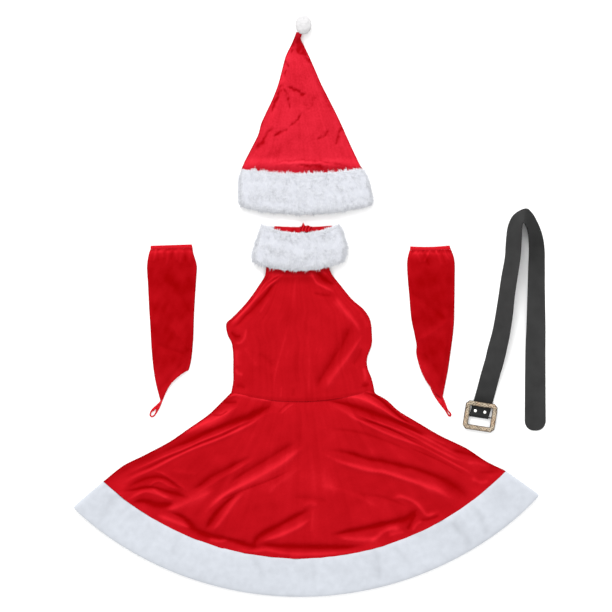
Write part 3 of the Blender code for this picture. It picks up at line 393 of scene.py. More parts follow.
# The hat's dents carry pressed marks of the crushed pile and painted shade; its few ridges carry painted
# highlight
HAT_CREASES = [
    Crease(-1.0, -0.47, ((-18, 268, 2.6), (-20, 258, 4.2), (-23, 246, 2.6))),
    Crease(-1.4, -0.59, ((-9, 278, 3.9), (-6, 262, 5.9), (-6, 252, 6.5), (-8, 240, 3.9))),
    Crease(-1.2, -0.53, ((-4, 266, 3.9), (4, 250, 5.2), (12, 236, 5.2), (22, 218, 3.2))),
    Crease(-0.6, -0.38, ((-33, 230, 2.1), (-30, 222, 2.9), (-27, 214, 2.1))),
    Crease(-0.6, -0.38, ((-33, 212, 1.8), (-35, 204, 2.9), (-36, 194, 1.8))),
    Crease(-2.0, -0.59, (
        (-41, 184, 3.4), (-46, 164, 3.9), (-54, 144, 3.9), (-60, 128, 3.1), (-63, 116, 1.8))),
    Crease(-1.8, -0.57, (
        (-32, 178, 2.3), (-20, 170, 3.6), (-8, 163, 3.9), (2, 158, 4.7), (12, 161, 2.1))),
    Crease(-1.2, -0.32, (
        (-43, 180, 2.6), (-35, 166, 3.4), (-29, 152, 3.4), (-26, 136, 2.6), (-24, 120, 2.1))),
    Crease(-0.4, -0.21, ((2, 141, 3.1), (10, 133, 4.4), (18, 126, 2.6))),
    Crease(-0.3, -0.21, ((19, 146, 2.1), (25, 150, 3.1), (33, 152, 2.1))),
    Crease(-0.3, -0.19, ((20, 150, 2.1), (22, 141, 3.1), (22, 134, 2.1))),
    Crease(-1.0, -0.41, ((0, 124, 1.8), (-6, 109, 2.6), (-15, 99, 2.6), (-27, 92, 1.8))),
    Crease(-1.4, -0.47, ((-27, 87, 2.3), (-40, 82, 3.9), (-50, 74, 3.9), (-60, 69, 2.3))),
    Crease(-1.6, -0.47, (
        (-56, 87, 2.9), (-68, 83, 4.4), (-75, 70, 4.4), (-82, 58, 4.7), (-91, 50, 5.2), (-94, 38, 3.1))),
    Crease(-0.4, -0.29, ((-80, 104, 2.1), (-83, 95, 2.9), (-86, 88, 2.1))),
    Crease(-1.0, -0.32, ((56, 88, 2.3), (50, 74, 3.9), (40, 68, 3.9), (30, 66, 2.3))),
    Crease(-1.0, -0.4, ((84, 92, 3.1), (79, 76, 4.2), (74, 62, 3.4), (72, 50, 2.1))),
    Crease(-0.4, -0.19, ((16, 236, 5.2), (34, 190, 6.5), (50, 150, 7.8), (66, 112, 6.5))),
    Crease(-0.3, -0.11, ((-82, 24, 5.2), (-60, 32, 6.5), (-36, 38, 5.2))),
    Crease(0.5, 0.12, ((-60, 200, 7.8), (-52, 176, 6.5), (-60, 150, 5.2))),
    # the cloth rolls in above the brim
    Crease(-1.4, -0.27, ((-66, 14, 1.6), (-20, 18.5, 2), (20, 18.5, 2.2), (60, 13.5, 2), (104, 6, 1.6))),
    Crease(1.6, 0.14, ((-60, 10, 2.4), (-16, 13.5, 3), (20, 13.5, 3), (60, 9.5, 2.6))),
    Crease(-1.8, -0.47, ((-14, 8, 1.8), (4, 8, 2.4), (20, 7, 2.8), (36, 6, 2.4), (50, 5, 1.6))),
]

# Arm sleeves: from the middle of the arm end, with the hand end towards -Y
SLEEVE_LEFT = [
    Course(-42.6, -8.3, 45.6, -5.3, 0),
    Course(-46.5, -20, 48, -19, 0),
    Course(-50, -45, 54.5, -42, 0),
    Course(-48, -82, 53.5, -70, 0),
    Course(-45.5, -132, 50.5, -115, 0),
    Course(-43, -172, 48.5, -155, 0),
    Course(-40.5, -216, 47.5, -190, 0),
    Course(-36.8, -256, 45.5, -218, -3),
    Course(-31.2, -290, 42.5, -243, -6),
    Course(-21.5, -327.5, 37.5, -262, -8.5),
]
SLEEVE_RIGHT = [
    Course(-42.3, -8.3, 44, -6.8, 1),
    Course(-45.5, -18, 49.5, -21, 0),
    Course(-48, -35, 52, -37, 0),
    Course(-47, -64, 52, -72, 0),
    Course(-43.5, -104, 51.5, -112, 0),
    Course(-39.5, -150, 50.5, -160, 0),
    Course(-33.3, -181, 47, -195, 0),
    Course(-28.5, -206, 42.5, -228, 0),
    Course(-29, -220, 37.5, -262, 2),
    Course(-28, -231, 32, -290, 5),
    Course(-24.5, -243, 26, -320.5, 8),
]
HEM_LEFT = [Course(-42.5, -1.2, 44.3, 1.7, 0), Course(-42.4, -8.0, 45.4, -5.0, 0)]
HEM_RIGHT = [Course(-41.6, -0.4, 41, 1.5, 2), Course(-42.2, -8.0, 43.8, -6.5, 1)]
# The sleeves' creases carry painted shade in their troughs and painted highlight on their ridges
SLEEVE_LEFT_CREASES = [
    Crease(0.8, 0.18, ((-30, -2, 2.7), (-31, -16, 3.3), (-35, -36, 2.4))),
    Crease(0.6, 0.14, ((-20, -2, 2.1), (-18, -14, 2.7), (-15, -30, 2.1))),
    Crease(-0.5, -0.13, ((-25, -2, 2.4), (-25, -18, 3), (-25, -38, 2.4))),
    Crease(0.8, 0.17, ((-5, -2, 2.7), (-5, -18, 3.6), (-8, -44, 2.4))),
    Crease(-0.4, -0.11, ((3, -2, 2.4), (3, -16, 3), (2, -34, 2.4))),
    Crease(0.6, 0.14, ((10, -2, 2.4), (11, -16, 3), (14, -36, 2.1))),
    Crease(0.7, 0.16, ((22, -2, 2.7), (21, -18, 3.3), (20, -42, 2.4))),
    Crease(-0.5, -0.13, ((28, -2, 2.4), (29, -16, 3.3), (31, -38, 2.4))),
    Crease(0.8, 0.16, ((35, -2, 2.7), (38, -18, 3.6), (42, -46, 2.7))),
    Crease(-0.9, -0.08, ((0, -74, 5), (24, -112, 8), (44, -150, 5))),
    Crease(0.8, 0.05, ((-4, -164, 5), (20, -194, 8), (40, -222, 5))),
    Crease(-0.7, -0.07, ((-40, -204, 5), (-4, -218, 7), (32, -230, 5))),
    Crease(-0.8, -0.09, ((-30, -312, 5), (0, -278, 8), (30, -242, 5))),
]
SLEEVE_RIGHT_CREASES = [
    Crease(0.7, 0.18, ((-30, -3, 2.4), (-25, -18, 3.3), (-19, -38, 2.4))),
    Crease(-0.7, -0.2, ((-15, -3, 2.7), (-9, -22, 3.6), (-1, -46, 2.7))),
    Crease(0.8, 0.2, ((3, -3, 2.7), (-4, -18, 3.3), (-13, -36, 2.4))),
    Crease(0.8, 0.19, ((11, -3, 2.7), (17, -20, 3.6), (26, -44, 2.7))),
    Crease(-0.4, -0.13, ((20, -3, 2.4), (26, -20, 3), (32, -38, 2.4))),
    Crease(0.6, 0.16, ((26, -3, 2.4), (32, -16, 3), (40, -32, 2.4))),
    Crease(-0.9, -0.11, ((-44, -94, 6), (-4, -124, 10), (38, -160, 6))),
    Crease(0.9, 0.07, ((-28, -200, 6), (6, -180, 9), (42, -152, 6))),
    Crease(1.0, 0.08, ((-30, -228, 5), (-4, -268, 8), (30, -322, 5))),
    Crease(-0.9, -0.09, ((-16, -224, 4), (10, -256, 7), (34, -298, 4))),
]
LOOP_LEFT = [
    # its second leg runs on up the sleeve's cut edge, which it binds
    Bend(-20.6, -327.2, 1.6),
    Bend(-24.4, -333.0, 2.4),
    Bend(-30.6, -339.4, 3.0),
    Bend(-36.2, -344.4, 2.9),
    Bend(-40.4, -348.6, 2.1),
    Bend(-42.8, -352.4, 1.5),
    Bend(-43.2, -357.0, 1.4),
    Bend(-39.8, -359.8, 1.4),
    Bend(-35.0, -357.4, 1.5),
    Bend(-31.4, -352.2, 1.7),
    Bend(-28.2, -345.2, 2.6),
    Bend(-25.4, -339.4, 3.0),
    Bend(-22.6, -333.4, 2.5),
    Bend(-20.0, -327.4, 2.2),
    Bend(-17.8, -320.6, 2.7),
    Bend(-14.2, -311.4, 2.9),
    Bend(-9.8, -303.0, 2.5),
    Bend(-5.0, -295.8, 1.8),
    Bend(0.6, -289.4, 0.9),
]
LOOP_RIGHT = [
    # its two legs lie side by side, so they are drawn wide enough to meet
    Bend(3.4, -297.4, 2.6),
    Bend(11.4, -310.9, 3.9),
    Bend(20.8, -324.4, 4.4),
    Bend(27.4, -334.8, 3.4),
    Bend(31.9, -342.2, 2.0),
    Bend(35.6, -349.2, 1.5),
    Bend(38.6, -354.0, 1.6),
    Bend(41.6, -356.4, 1.6),
    Bend(43.8, -353.8, 1.6),
    Bend(41.4, -349.4, 1.5),
    Bend(37.6, -345.0, 1.5),
    Bend(34.2, -339.6, 2.0),
    Bend(30.4, -331.0, 2.8),
    Bend(25.6, -319.6, 3.0),
    Bend(22.6, -312.4, 3.0),
]

# Belt: from the middle of the buckle's bar. The strap's outer edge lies on the floor.
STRAP_RUN = [
    Station(-7.1, 54.7, 32.3, 48.4, 2),
    Station(3, 92, 41, 84, 9),
    Station(11.3, 119.8, 48.1, 109.7, 14),
    Station(16.8, 142.7, 53.8, 134.5, 17),
    Station(26.7, 178.6, 61.1, 171.3, 22),
    Station(34.2, 218.1, 67, 213.3, 26),
    Station(39.9, 254.2, 70.6, 251, 28),
    Station(45.8, 293.5, 76.4, 291, 29),
    Station(52.9, 333, 82.5, 331.9, 29.5),
    Station(55.2, 365.7, 84.8, 366.6, 30),
    Station(59.4, 398.5, 85.6, 391, 30.5),
    Station(72, 423, 86.4, 400.5, 30),
    Station(96.2, 435.6, 88, 404.4, 28),
    Station(109.5, 425.6, 90.4, 401.5, 28.5),
    Station(118.7, 410, 93.4, 396, 29),
    Station(126.8, 391.9, 96.4, 385.5, 28),
    Station(132.3, 372.2, 98.5, 371, 25),
    Station(135.2, 349.3, 99.6, 349.3, 23),
    Station(135.7, 316.6, 98.9, 316.6, 19.5),
    Station(135.9, 267.2, 97.9, 267.2, 16),
    Station(137.3, 185.3, 96.2, 185.3, 9),
    Station(137.3, 136, 94.9, 136, 4),
    Station(137.8, 37.9, 94.3, 37.9, 0),
    Station(138.2, -8.3, 94, -8.3, 0),
]
STRAP_TIP = 22.0      # how far the rounded end reaches past the last station
LAP_END = 37.0        # end of the strap's lower layer, from the bar
STRAP_AT_BAR = (-22.2, 17.8)   # its edges along the bar
STRAP_LEAN = 0.125    # its sideways drift for each unit away from the bar
RIVETS = [(-11.6, 10.0), (8.5, 10.0)]


def linear(hex_colour):
    """The linear values of an sRGB hex colour."""
    values = [int(hex_colour[i:i + 2], 16) / 255 for i in (1, 3, 5)]
    return tuple(v / 12.92 if v <= 0.04045 else ((v + 0.055) / 1.055) ** 2.4 for v in values)


# Settings

def colour_property(name, description, hex_colour):
    return FloatVectorProperty(
        name=name, description=description, subtype="COLOR", size=3, min=0.0, max=1.0,
        default=linear(hex_colour),
    )


class VelvetSettings(bpy.types.PropertyGroup):
    """Red stretch velvet of the dress and sleeves, and the hat's crushed velvet."""

    # dark is painted shade and bright painted highlight: where the cloth leans away from the key light or
    # lies in a crease's trough, and where it leans towards it or rides a ridge
    dark: colour_property("Dress, dark pile", "Where the pile leans away from the light", "#810002")
    red: colour_property("Dress, main red", "The dress and sleeves seen straight on", "#9F0B14")
    bright: colour_property("Dress, bright pile", "Where the pile leans to the light", "#C11C27")
    # hat_dark is partly the crushed pile's pressed marks and partly painted shade in the hat's dents and
    # where it leans from the light; hat_bright is painted highlight
    hat_dark: colour_property("Hat, pressed marks", "Where the crushed pile lies flat", "#8D030B")
    hat_red: colour_property("Hat, main red", "The hat's crushed velvet", "#B41C2B")
    hat_bright: colour_property("Hat, bright pile", "The brightest pile of the hat", "#C72D3C")
    folds: FloatProperty(
        name="Fold height", description="Share of each fold's full height", subtype="FACTOR",
        default=0.75, min=0.0, max=1.0,
    )
    wrinkle: FloatProperty(
        name="Small wrinkles", description="Height of the small wrinkles between the folds",
        unit="LENGTH", default=0.5 * MM, min=0.0, max=2 * MM,
    )


class PlushSettings(bpy.types.PropertyGroup):
    """White plush of the collar, brim, hem and pompom."""

    white: colour_property("Plush, tips", "The long plush", "#C8CACF")
    # shade is painted shade between the locks and at their roots, where the pillow shows
    shade: colour_property("Plush, roots", "Between the locks of the long plush", "#ADAFB6")
    ball_white: colour_property("Pompom plush", "The short dense plush of the pompom", "#CAC9CA")
    hem_white: colour_property("Hem plush", "The short plush of the hem", "#B3B7BE")
    lock_length: FloatProperty(
        name="Lock length", description="Length of the collar's and brim's locks",
        unit="LENGTH", default=12 * MM, min=4 * MM, max=25 * MM,
    )
    collar_locks: IntProperty(name="Collar locks", description="Locks on the collar's front", default=7000)
    brim_locks: IntProperty(name="Brim locks", description="Locks on the brim's front", default=8500)
    back_locks: IntProperty(name="Back locks", description="Locks on each back half", default=2500)


class BeltSettings(bpy.types.PropertyGroup):
    """Imitation leather strap and cast buckle."""

    strap: colour_property("Strap", "Matt black imitation leather", "#2C2C2C")
    brass: colour_property("Buckle, rubbed metal", "High places of the antiqued frame", "#C9B9A2")
    patina: colour_property("Buckle, patina", "Recesses of the antiqued frame", "#2C2017")
    relief: FloatProperty(
        name="Relief", description="Height of the frame's cast pattern",
        unit="LENGTH", default=0.42 * MM, min=0.0, max=1 * MM,
    )


class StageSettings(bpy.types.PropertyGroup):
    """Floor, light and camera."""

    key: FloatProperty(name="Key light", description="Power of the soft box", unit="POWER", default=220.0)
    fill: FloatProperty(name="Fill", description="Strength of the light from all round", default=1.3)
    height: FloatProperty(
        name="Camera height", description="Camera's height over the floor", unit="LENGTH", default=4.0,
    )


class CostumeSettings(bpy.types.PropertyGroup):
    """All settings of the costume."""

    velvet: PointerProperty(type=VelvetSettings)
    plush: PointerProperty(type=PlushSettings)
    belt: PointerProperty(type=BeltSettings)
    stage: PointerProperty(type=StageSettings)


# Numbers from tables, for whole grids at once

def smoothstep(low, high, value):
    t = np.clip((value - low) / (high - low), 0.0, 1.0)
    return t * t * (3 - 2 * t)


def blend(rows, at):
    """The values at shares of the way down a table, on a smooth curve through its rows."""
    table = np.array(rows, float)
    spot = np.clip(at, 0.0, 1.0) * (len(rows) - 1)
    index = np.minimum(spot.astype(int), len(rows) - 2)
    t = (spot - index)[..., None]
    a = table[np.maximum(index - 1, 0)]
    b = table[index]
    c = table[index + 1]
    d = table[np.minimum(index + 2, len(rows) - 1)]
    curved = 2 * b + (c - a) * t + (2 * a - 5 * b + 4 * c - d) * t ** 2 + (3 * b - a - 3 * c + d) * t ** 3
    return np.moveaxis(0.5 * curved, -1, 0)


def on_courses(rows, across, along):
    """Points on courses, which are circular arcs that sag to their right-hand side."""
    left_x, left_y, right_x, right_y, sag = blend(rows, along)
    chord_x = right_x - left_x
    chord_y = right_y - left_y
    length = np.hypot(chord_x, chord_y)
    sag = np.where(np.abs(sag) < 0.01, 0.01, sag)
    radius = (length ** 2 / 4 + sag ** 2) / (2 * sag)
    half = np.arcsin(np.clip(length / 2 / radius, -1.0, 1.0))
    turn = half * (2 * across - 1)
    reach = radius * (np.sin(turn) + np.sin(half)) / length
    drop = radius * (np.cos(turn) - np.cos(half)) / length
    return left_x + chord_x * reach + chord_y * drop, left_y + chord_y * reach - chord_x * drop


def creased(creases, x, y):
    """What the creases add at each point: millimetres of height, and painted light, shade in troughs and
    highlight on ridges.
    """
    height = np.zeros_like(x)
    tone = np.zeros_like(x)
    for crease in creases:
        line = blend(crease.path, np.linspace(0, 1, 5 * len(crease.path)))
        reach = 3 * line[2].max()
        low_x, low_y, high_x, high_y = *line[:2].min(axis=1), *line[:2].max(axis=1)
        near = (x > low_x - reach) & (x < high_x + reach) & (y > low_y - reach) & (y < high_y + reach)
        at_x = x[near]
        at_y = y[near]
        nearest = np.full_like(at_x, 9.0)
        share = np.zeros_like(at_x)
        steps = line.shape[1] - 1
        for index in range(steps):
            x0, y0, half0 = line[:, index]
            run_x, run_y, widening = line[:, index + 1] - line[:, index]
            t = ((at_x - x0) * run_x + (at_y - y0) * run_y) / (run_x ** 2 + run_y ** 2)
            t = np.clip(t, 0.0, 1.0)
            off = np.hypot(at_x - x0 - t * run_x, at_y - y0 - t * run_y) / (half0 + t * widening)
            share = np.where(off < nearest, (index + t) / steps, share)
            nearest = np.minimum(nearest, off)
        shape = 0.65 * np.exp(-nearest ** 2) + 0.35 * np.exp(-2.4 * nearest)
        shape *= smoothstep(0.0, 0.22, share) * smoothstep(1.0, 0.8, share)
        height[near] += crease.height * shape
        tone[near] += crease.tone * shape
    return height, tone


def ripples(x, y, size, seed):
    """Soft uneven waves about that long, mostly from -1 to 1, the same ones each run."""
    source = np.random.default_rng(seed)
    total = np.zeros_like(x)
    for turn, phase, stretch in source.random((9, 3)):
        wave = size * (0.7 + 0.9 * stretch)
        total += np.sin((x * cos(tau * turn) + y * sin(tau * turn)) * tau / wave + tau * phase)
    return total / 3


def above(value, soft=0.2):
    """The value kept above zero, with a soft corner."""
    return 0.5 * (value + np.sqrt(value ** 2 + 4 * soft * soft))


def spread(count, share=0.0):
    """Shares from 0 to 1, closer together near both ends."""
    t = np.linspace(0, 1, count + 1)
    return (1 - share) * t + share * 0.5 * (1 - np.cos(pi * t))


def crown(t, power=4):
    """A pillow's height across its width, 0 at the edges and 1 in the middle."""
    return np.sqrt(np.maximum(0.0, 1 - np.abs(2 * t - 1) ** power))


def normals_of(grid):
    """Upward normals of a grid of points."""
    normal = np.cross(np.gradient(grid, axis=1), np.gradient(grid, axis=0))
    normal /= np.linalg.norm(normal, axis=-1, keepdims=True) + 1e-9
    return np.where(np.median(normal[..., 2]) < 0, -normal, normal)


# Meshes

def grid_quads(rows, columns, closed=False):
    """Quads between the points of a grid, whose rows follow each other in one list."""
    wide = columns if closed else columns - 1
    row = np.arange(rows - 1)[:, None] * columns
    column = np.arange(wide)[None, :]
    a = row + column
    b = row + (column + 1) % columns
    return np.stack([a, b, b + columns, a + columns], axis=-1).reshape(-1, 4)


def rim(rows, columns):
    """The points round the edge of a grid, in order."""
    last = (rows - 1) * columns
    return np.concatenate([
        np.arange(columns),
        np.arange(1, rows) * columns + columns - 1,
        last + np.arange(columns - 2, -1, -1),
        np.arange(rows - 2, 0, -1) * columns,
    ])


def capped(rows, around, turned=False):
    """Faces of rings that follow each other, with both ends closed."""
    faces = grid_quads(rows, around, closed=True).tolist()
    faces.append(list(range(around))[::-1])
    faces.append(list(range((rows - 1) * around, rows * around)))
    return [face[::-1] for face in faces] if turned else faces


def shell(upper, lower):
    """Points and quads of a closed shell between two grids."""
    rows, columns = upper.shape[:2]
    quads = grid_quads(rows, columns)
    under = quads[:, ::-1] + rows * columns
    loop = rim(rows, columns)
    following = np.roll(loop, -1)
    below = rows * columns
    sides = np.stack([following, loop, loop + below, following + below], axis=-1)
    points = np.concatenate([upper.reshape(-1, 3), lower.reshape(-1, 3)])
    faces = np.concatenate([quads, under, sides])
    a, b, c = (points[quads[len(quads) // 2, k]] for k in (0, 1, 3))
    if np.cross(b - a, c - a)[2] < 0:
        faces = faces[:, ::-1]
    return points, faces


def tube(outer, inner):
    """Points and quads of an open-ended tube with a wall, between two grids of closed rings."""
    rows, around = outer.shape[:2]
    quads = grid_quads(rows, around, closed=True)
    inside = quads[:, ::-1] + rows * around
    step = np.arange(around)
    after = (step + 1) % around
    start = np.stack([after, step, step + rows * around, after + rows * around], axis=-1)
    last = (rows - 1) * around
    end = np.stack([step, after, after + rows * around, step + rows * around], axis=-1) + last
    points = np.concatenate([outer.reshape(-1, 3), inner.reshape(-1, 3)])
    return points, np.concatenate([quads, inside, start, end])


def make_mesh(name, points, faces, values=None, normals=None):
    """A mesh from points in millimetres, none below the floor, with named values at its points."""
    mesh = bpy.data.meshes.new(name)
    above_floor = np.column_stack([points[:, :2], np.maximum(points[:, 2], 0.0)])
    mesh.from_pydata((above_floor * MM).tolist(), [], [list(face) for face in faces])
    for label, numbers in (values or {}).items():
        held = mesh.attributes.new(label, "FLOAT", "POINT")
        held.data.foreach_set("value", np.asarray(numbers, np.float32))
    mesh.shade_smooth()
    if normals is None:
        mesh.set_sharp_from_angle(angle=radians(60))
    else:
        mesh.normals_split_custom_set_from_vertices(normals.tolist())
    return mesh


def with_light_and_nap(name, points, faces, light_and_nap):
    """A mesh in two layers of points, with the same painted light and pile value on both."""
    return make_mesh(name, points, faces, {"light_and_nap": np.tile(light_and_nap.ravel(), 2)})


def add_piece(mesh, finish, nodes, body="costume"):
    """Adds a finished mesh as the piece that stands for its nodes."""
    mesh.materials.append(finish)
    piece = bpy.data.objects.new(mesh.name, mesh)
    bpy.context.scene.collection.objects.link(piece)
    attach(piece, body)
    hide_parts(*nodes)
    return piece


def cloth_piece(
        name, place, courses, columns, rows, under, creases, finish,
        ragged=0.0, over=0.0, shade=0.0):
    """A cloth wall on its courses. under gives the height of its underside.

    ragged wanders the creases' edges. over pushes the last edge out in uneven puffs. shade is how
    much painted shade lies along the sides, where the cloth turns under, over a thin painted shadow at
    the very edge.
    """
    across, along = np.meshgrid(spread(columns, 0.25), spread(rows))
    x, y = on_courses(courses, across, along)
    wander_x, wander_y = (
        ragged * (ripples(x, y, 22, seed) + 0.35 * ripples(x, y, 9, seed + 1)) for seed in (7, 9)
    )
    height, tone = creased(creases, x + wander_x, y + wander_y)
    low = under(x, y, across, along, height * bpy.context.scene.costume.velvet.folds)
    out_x, out_y = np.gradient(x, axis=0), np.gradient(y, axis=0)
    puffs = 1 + 0.22 * ripples(across * HEM_LENGTH, along * 60, 44, 31)
    push = over * puffs * smoothstep(0.96, 1.0, along) - 0.8 * (1 - smoothstep(0.0, 0.02, along))
    push /= np.hypot(out_x, out_y)
    spots = np.stack([x + push * out_x + place.x, y + push * out_y + place.y], axis=-1)
    upper = np.dstack([spots, low + CLOTH])
    lower = np.dstack([spots, low])
    patchy = 1 + 0.4 * np.sign(ragged) * ripples(x, y, 12, 13)
    run = across * 700
    brushed = 0.035 * ripples(run, along * 60, 32, 15) + 0.012 * ripples(run, along * 50, 11, 17)
    from_edge = np.minimum(across, 1 - across) * np.ptp(x, axis=1, keepdims=True)
    # painted shadow in a thin rim at the edge, and painted shade along the sides
    turned = -0.4 * np.exp(-(from_edge / 1.8) ** 2) - shade * np.exp(-(from_edge / 11) ** 2)
    light_and_nap = light_and_nap_of(upper, x, y, tone * patchy + brushed + turned)
    points, faces = shell(upper, lower)
    return add_piece(with_light_and_nap(name, points, faces, light_and_nap), finish, [name])


# The way towards the key light, across the floor: cloth leaning this way gets painted highlight, and cloth
# leaning away painted shade
TO_KEY_LIGHT = Vector((-0.22, 1.0, 0.0)).normalized()


def light_and_nap_of(grid, x, y, tone, middle=0.43, lean=0.5):
    """The painted light and pile value, 0 to 1: painted highlight where the cloth leans towards the key light
    and painted shade where it leans away, the creases' painted shade and highlight, and random variation.
    """
    slope = normals_of(grid) @ np.array(TO_KEY_LIGHT)
    chance = 0.035 * ripples(x, y, 90, 5) + 0.02 * ripples(x, y, 30, 6)
    return np.clip(middle + lean * slope + tone + chance, 0.0, 1.0)


# Materials

# Most of a noise texture's values lie in this range
FROM_NOISE = {"From Min": 0.3, "From Max": 0.7}


def add_node(tree, kind, inputs=None, **settings):
    """Adds a shader node with its settings. An input takes a value, or a socket to link from."""
    node = tree.nodes.new("ShaderNode" + kind)
    for name, value in settings.items():
        setattr(node, name, value)
    for name, value in (inputs or {}).items():
        if isinstance(value, bpy.types.NodeSocket):
            tree.links.new(value, node.inputs[name])
        else:
            node.inputs[name].default_value = value
    return node


def new_material(name, **sockets):
    """A material and its shader, with values on the shader's own sockets."""
    made = bpy.data.materials.new(name)
    made.use_nodes = True
    shader = made.node_tree.nodes["Principled BSDF"]
    for socket, value in sockets.items():
        shader.inputs[socket.replace("_", " ").title().replace("Ior", "IOR")].default_value = value
    return made, made.node_tree, shader


def opaque(colour):
    return (*colour, 1.0)


def velvet(name, dark, red, bright, pile):
    """Stretch velvet, knitted and sheared: dull, with a red sheen. Its colour runs from dark through red
    to bright with the painted light and pile value: painted shade and painted highlight on its folds,
    moved by random pile bunches.
    """
    made, tree, shader = new_material(
        name, roughness=0.7, specular_ior_level=0.03, specular_tint=(1.0, 0.2, 0.25, 1.0),
        sheen_weight=0.12, sheen_roughness=0.4, sheen_tint=(1.0, 0.12, 0.16, 1.0),
    )
    where = add_node(tree, "TexCoord").outputs["Object"]
    light_and_nap = add_node(tree, "Attribute", attribute_name="light_and_nap").outputs["Fac"]
    # pile bunches, 4 mm across, drawn coarser than real pile so that they show
    bunches = add_node(tree, "TexNoise", {"Vector": where, "Scale": 1 / (4.0 * MM), "Detail": 3.0})
    # brushed places, 30 mm across
    brushed = add_node(
        tree, "TexNoise", {"Vector": where, "Scale": 1 / (30.3 * MM), "Detail": 4.0, "Distortion": 0.6},
    )
    both = add_node(tree, "Math", {0: bunches.outputs["Fac"], 1: brushed.outputs["Fac"]})
    uneven = add_node(
        tree, "MapRange",
        {"Value": both.outputs[0], "From Min": 0.6, "From Max": 1.4, "To Min": -pile, "To Max": pile},
    )
    # the painted light and pile value with the random pile bunches: painted shade below a half, painted
    # highlight above
    pile_and_light = add_node(tree, "Math", {0: light_and_nap, 1: uneven.outputs[0]}, use_clamp=True)
    to_red = add_node(tree, "MapRange", {"Value": pile_and_light.outputs[0], "From Max": 0.5})
    to_bright = add_node(tree, "MapRange", {"Value": pile_and_light.outputs[0], "From Min": 0.5})
    lower = add_node(tree, "Mix", {0: to_red.outputs[0], 6: opaque(dark), 7: opaque(red)}, data_type="RGBA")
    whole = add_node(
        tree, "Mix", {0: to_bright.outputs[0], 6: lower.outputs[2], 7: opaque(bright)},
        data_type="RGBA",
    )
    tree.links.new(whole.outputs[2], shader.inputs["Base Color"])
    grain = add_node(
        tree, "Bump", {"Height": bunches.outputs["Fac"], "Strength": 0.5, "Distance": 0.5 * MM},
    )
    tree.links.new(grain.outputs[0], shader.inputs["Normal"])
    return made


def plush(name, tip, root, clump, depth):
    """Polyester plush: matt white fibres, with painted shade towards their roots and between the locks."""
    made, tree, shader = new_material(
        name, roughness=0.95, specular_ior_level=0.05, sheen_weight=0.15, sheen_roughness=0.6,
    )
    where = add_node(tree, "TexCoord").outputs["Object"]
    light_and_nap = add_node(tree, "Attribute", attribute_name="light_and_nap").outputs["Fac"]
    clumps = add_node(tree, "TexNoise", {"Vector": where, "Scale": 1 / (clump * MM), "Detail": 3.0})
    # single fibres are finer, and are drawn 1.6 mm across so that they show
    fibres = add_node(tree, "TexNoise", {"Vector": where, "Scale": 1 / (1.6 * MM), "Detail": 2.0})
    uneven = add_node(
        tree, "MapRange", {"Value": clumps.outputs["Fac"], **FROM_NOISE, "To Min": -0.18, "To Max": 0.18},
    )
    # the painted shade value with random clumps: it mixes from the roots' painted shade to the tips' white
    share = add_node(tree, "Math", {0: light_and_nap, 1: uneven.outputs[0]}, use_clamp=True)
    white = add_node(tree, "Mix", {0: share.outputs[0], 6: opaque(root), 7: opaque(tip)}, data_type="RGBA")
    tree.links.new(white.outputs[2], shader.inputs["Base Color"])
    coarse = add_node(
        tree, "Bump", {"Height": clumps.outputs["Fac"], "Strength": 0.15, "Distance": depth * MM},
    )
    fine = add_node(
        tree, "Bump",
        {"Height": fibres.outputs["Fac"], "Strength": 0.2, "Distance": 0.4 * MM, "Normal": coarse.outputs[0]},
    )
    tree.links.new(fine.outputs[0], shader.inputs["Normal"])
    return made


def leatherette(name, colour):
    """Embossed polyurethane on cloth: a fine pebble grain, a low shine, and painted light and shade along the
    strap.
    """
    made, tree, shader = new_material(name, roughness=0.52, specular_ior_level=0.15)
    where = add_node(tree, "TexCoord").outputs["Object"]
    # pebbles, 1.1 mm across
    pebbles = add_node(tree, "TexVoronoi", {"Vector": where, "Scale": 1 / (1.11 * MM)}, feature="SMOOTH_F1")
    # painted shade past the strap's crease and round the bar, painted highlight half-way down its run
    strap_light = add_node(tree, "Attribute", attribute_name="strap_light").outputs["Fac"]
    # rubbed clouds, 25 mm across
    cloudy = add_node(tree, "TexNoise", {"Vector": where, "Scale": 1 / (25.0 * MM), "Detail": 5.0})
    shift = add_node(
        tree, "MapRange", {"Value": cloudy.outputs["Fac"], **FROM_NOISE, "To Min": -0.15, "To Max": 0.15},
    )
    shade = add_node(tree, "Math", {0: strap_light, 1: shift.outputs[0]}, use_clamp=True)
    # the painted shade's colour
    painted_shade = tuple(0.1 * v for v in colour)
    mixed = add_node(
        tree, "Mix", {0: shade.outputs[0], 6: opaque(painted_shade), 7: opaque(colour)}, data_type="RGBA",
    )
    tree.links.new(mixed.outputs[2], shader.inputs["Base Color"])
    rough = add_node(
        tree, "MapRange", {"Value": cloudy.outputs["Fac"], **FROM_NOISE, "To Min": 0.46, "To Max": 0.6},
    )
    tree.links.new(rough.outputs[0], shader.inputs["Roughness"])
    grain = add_node(
        tree, "Bump",
        {"Height": pebbles.outputs["Distance"], "Strength": 0.5, "Distance": 0.12 * MM}, invert=True,
    )
    tree.links.new(grain.outputs[0], shader.inputs["Normal"])
    return made


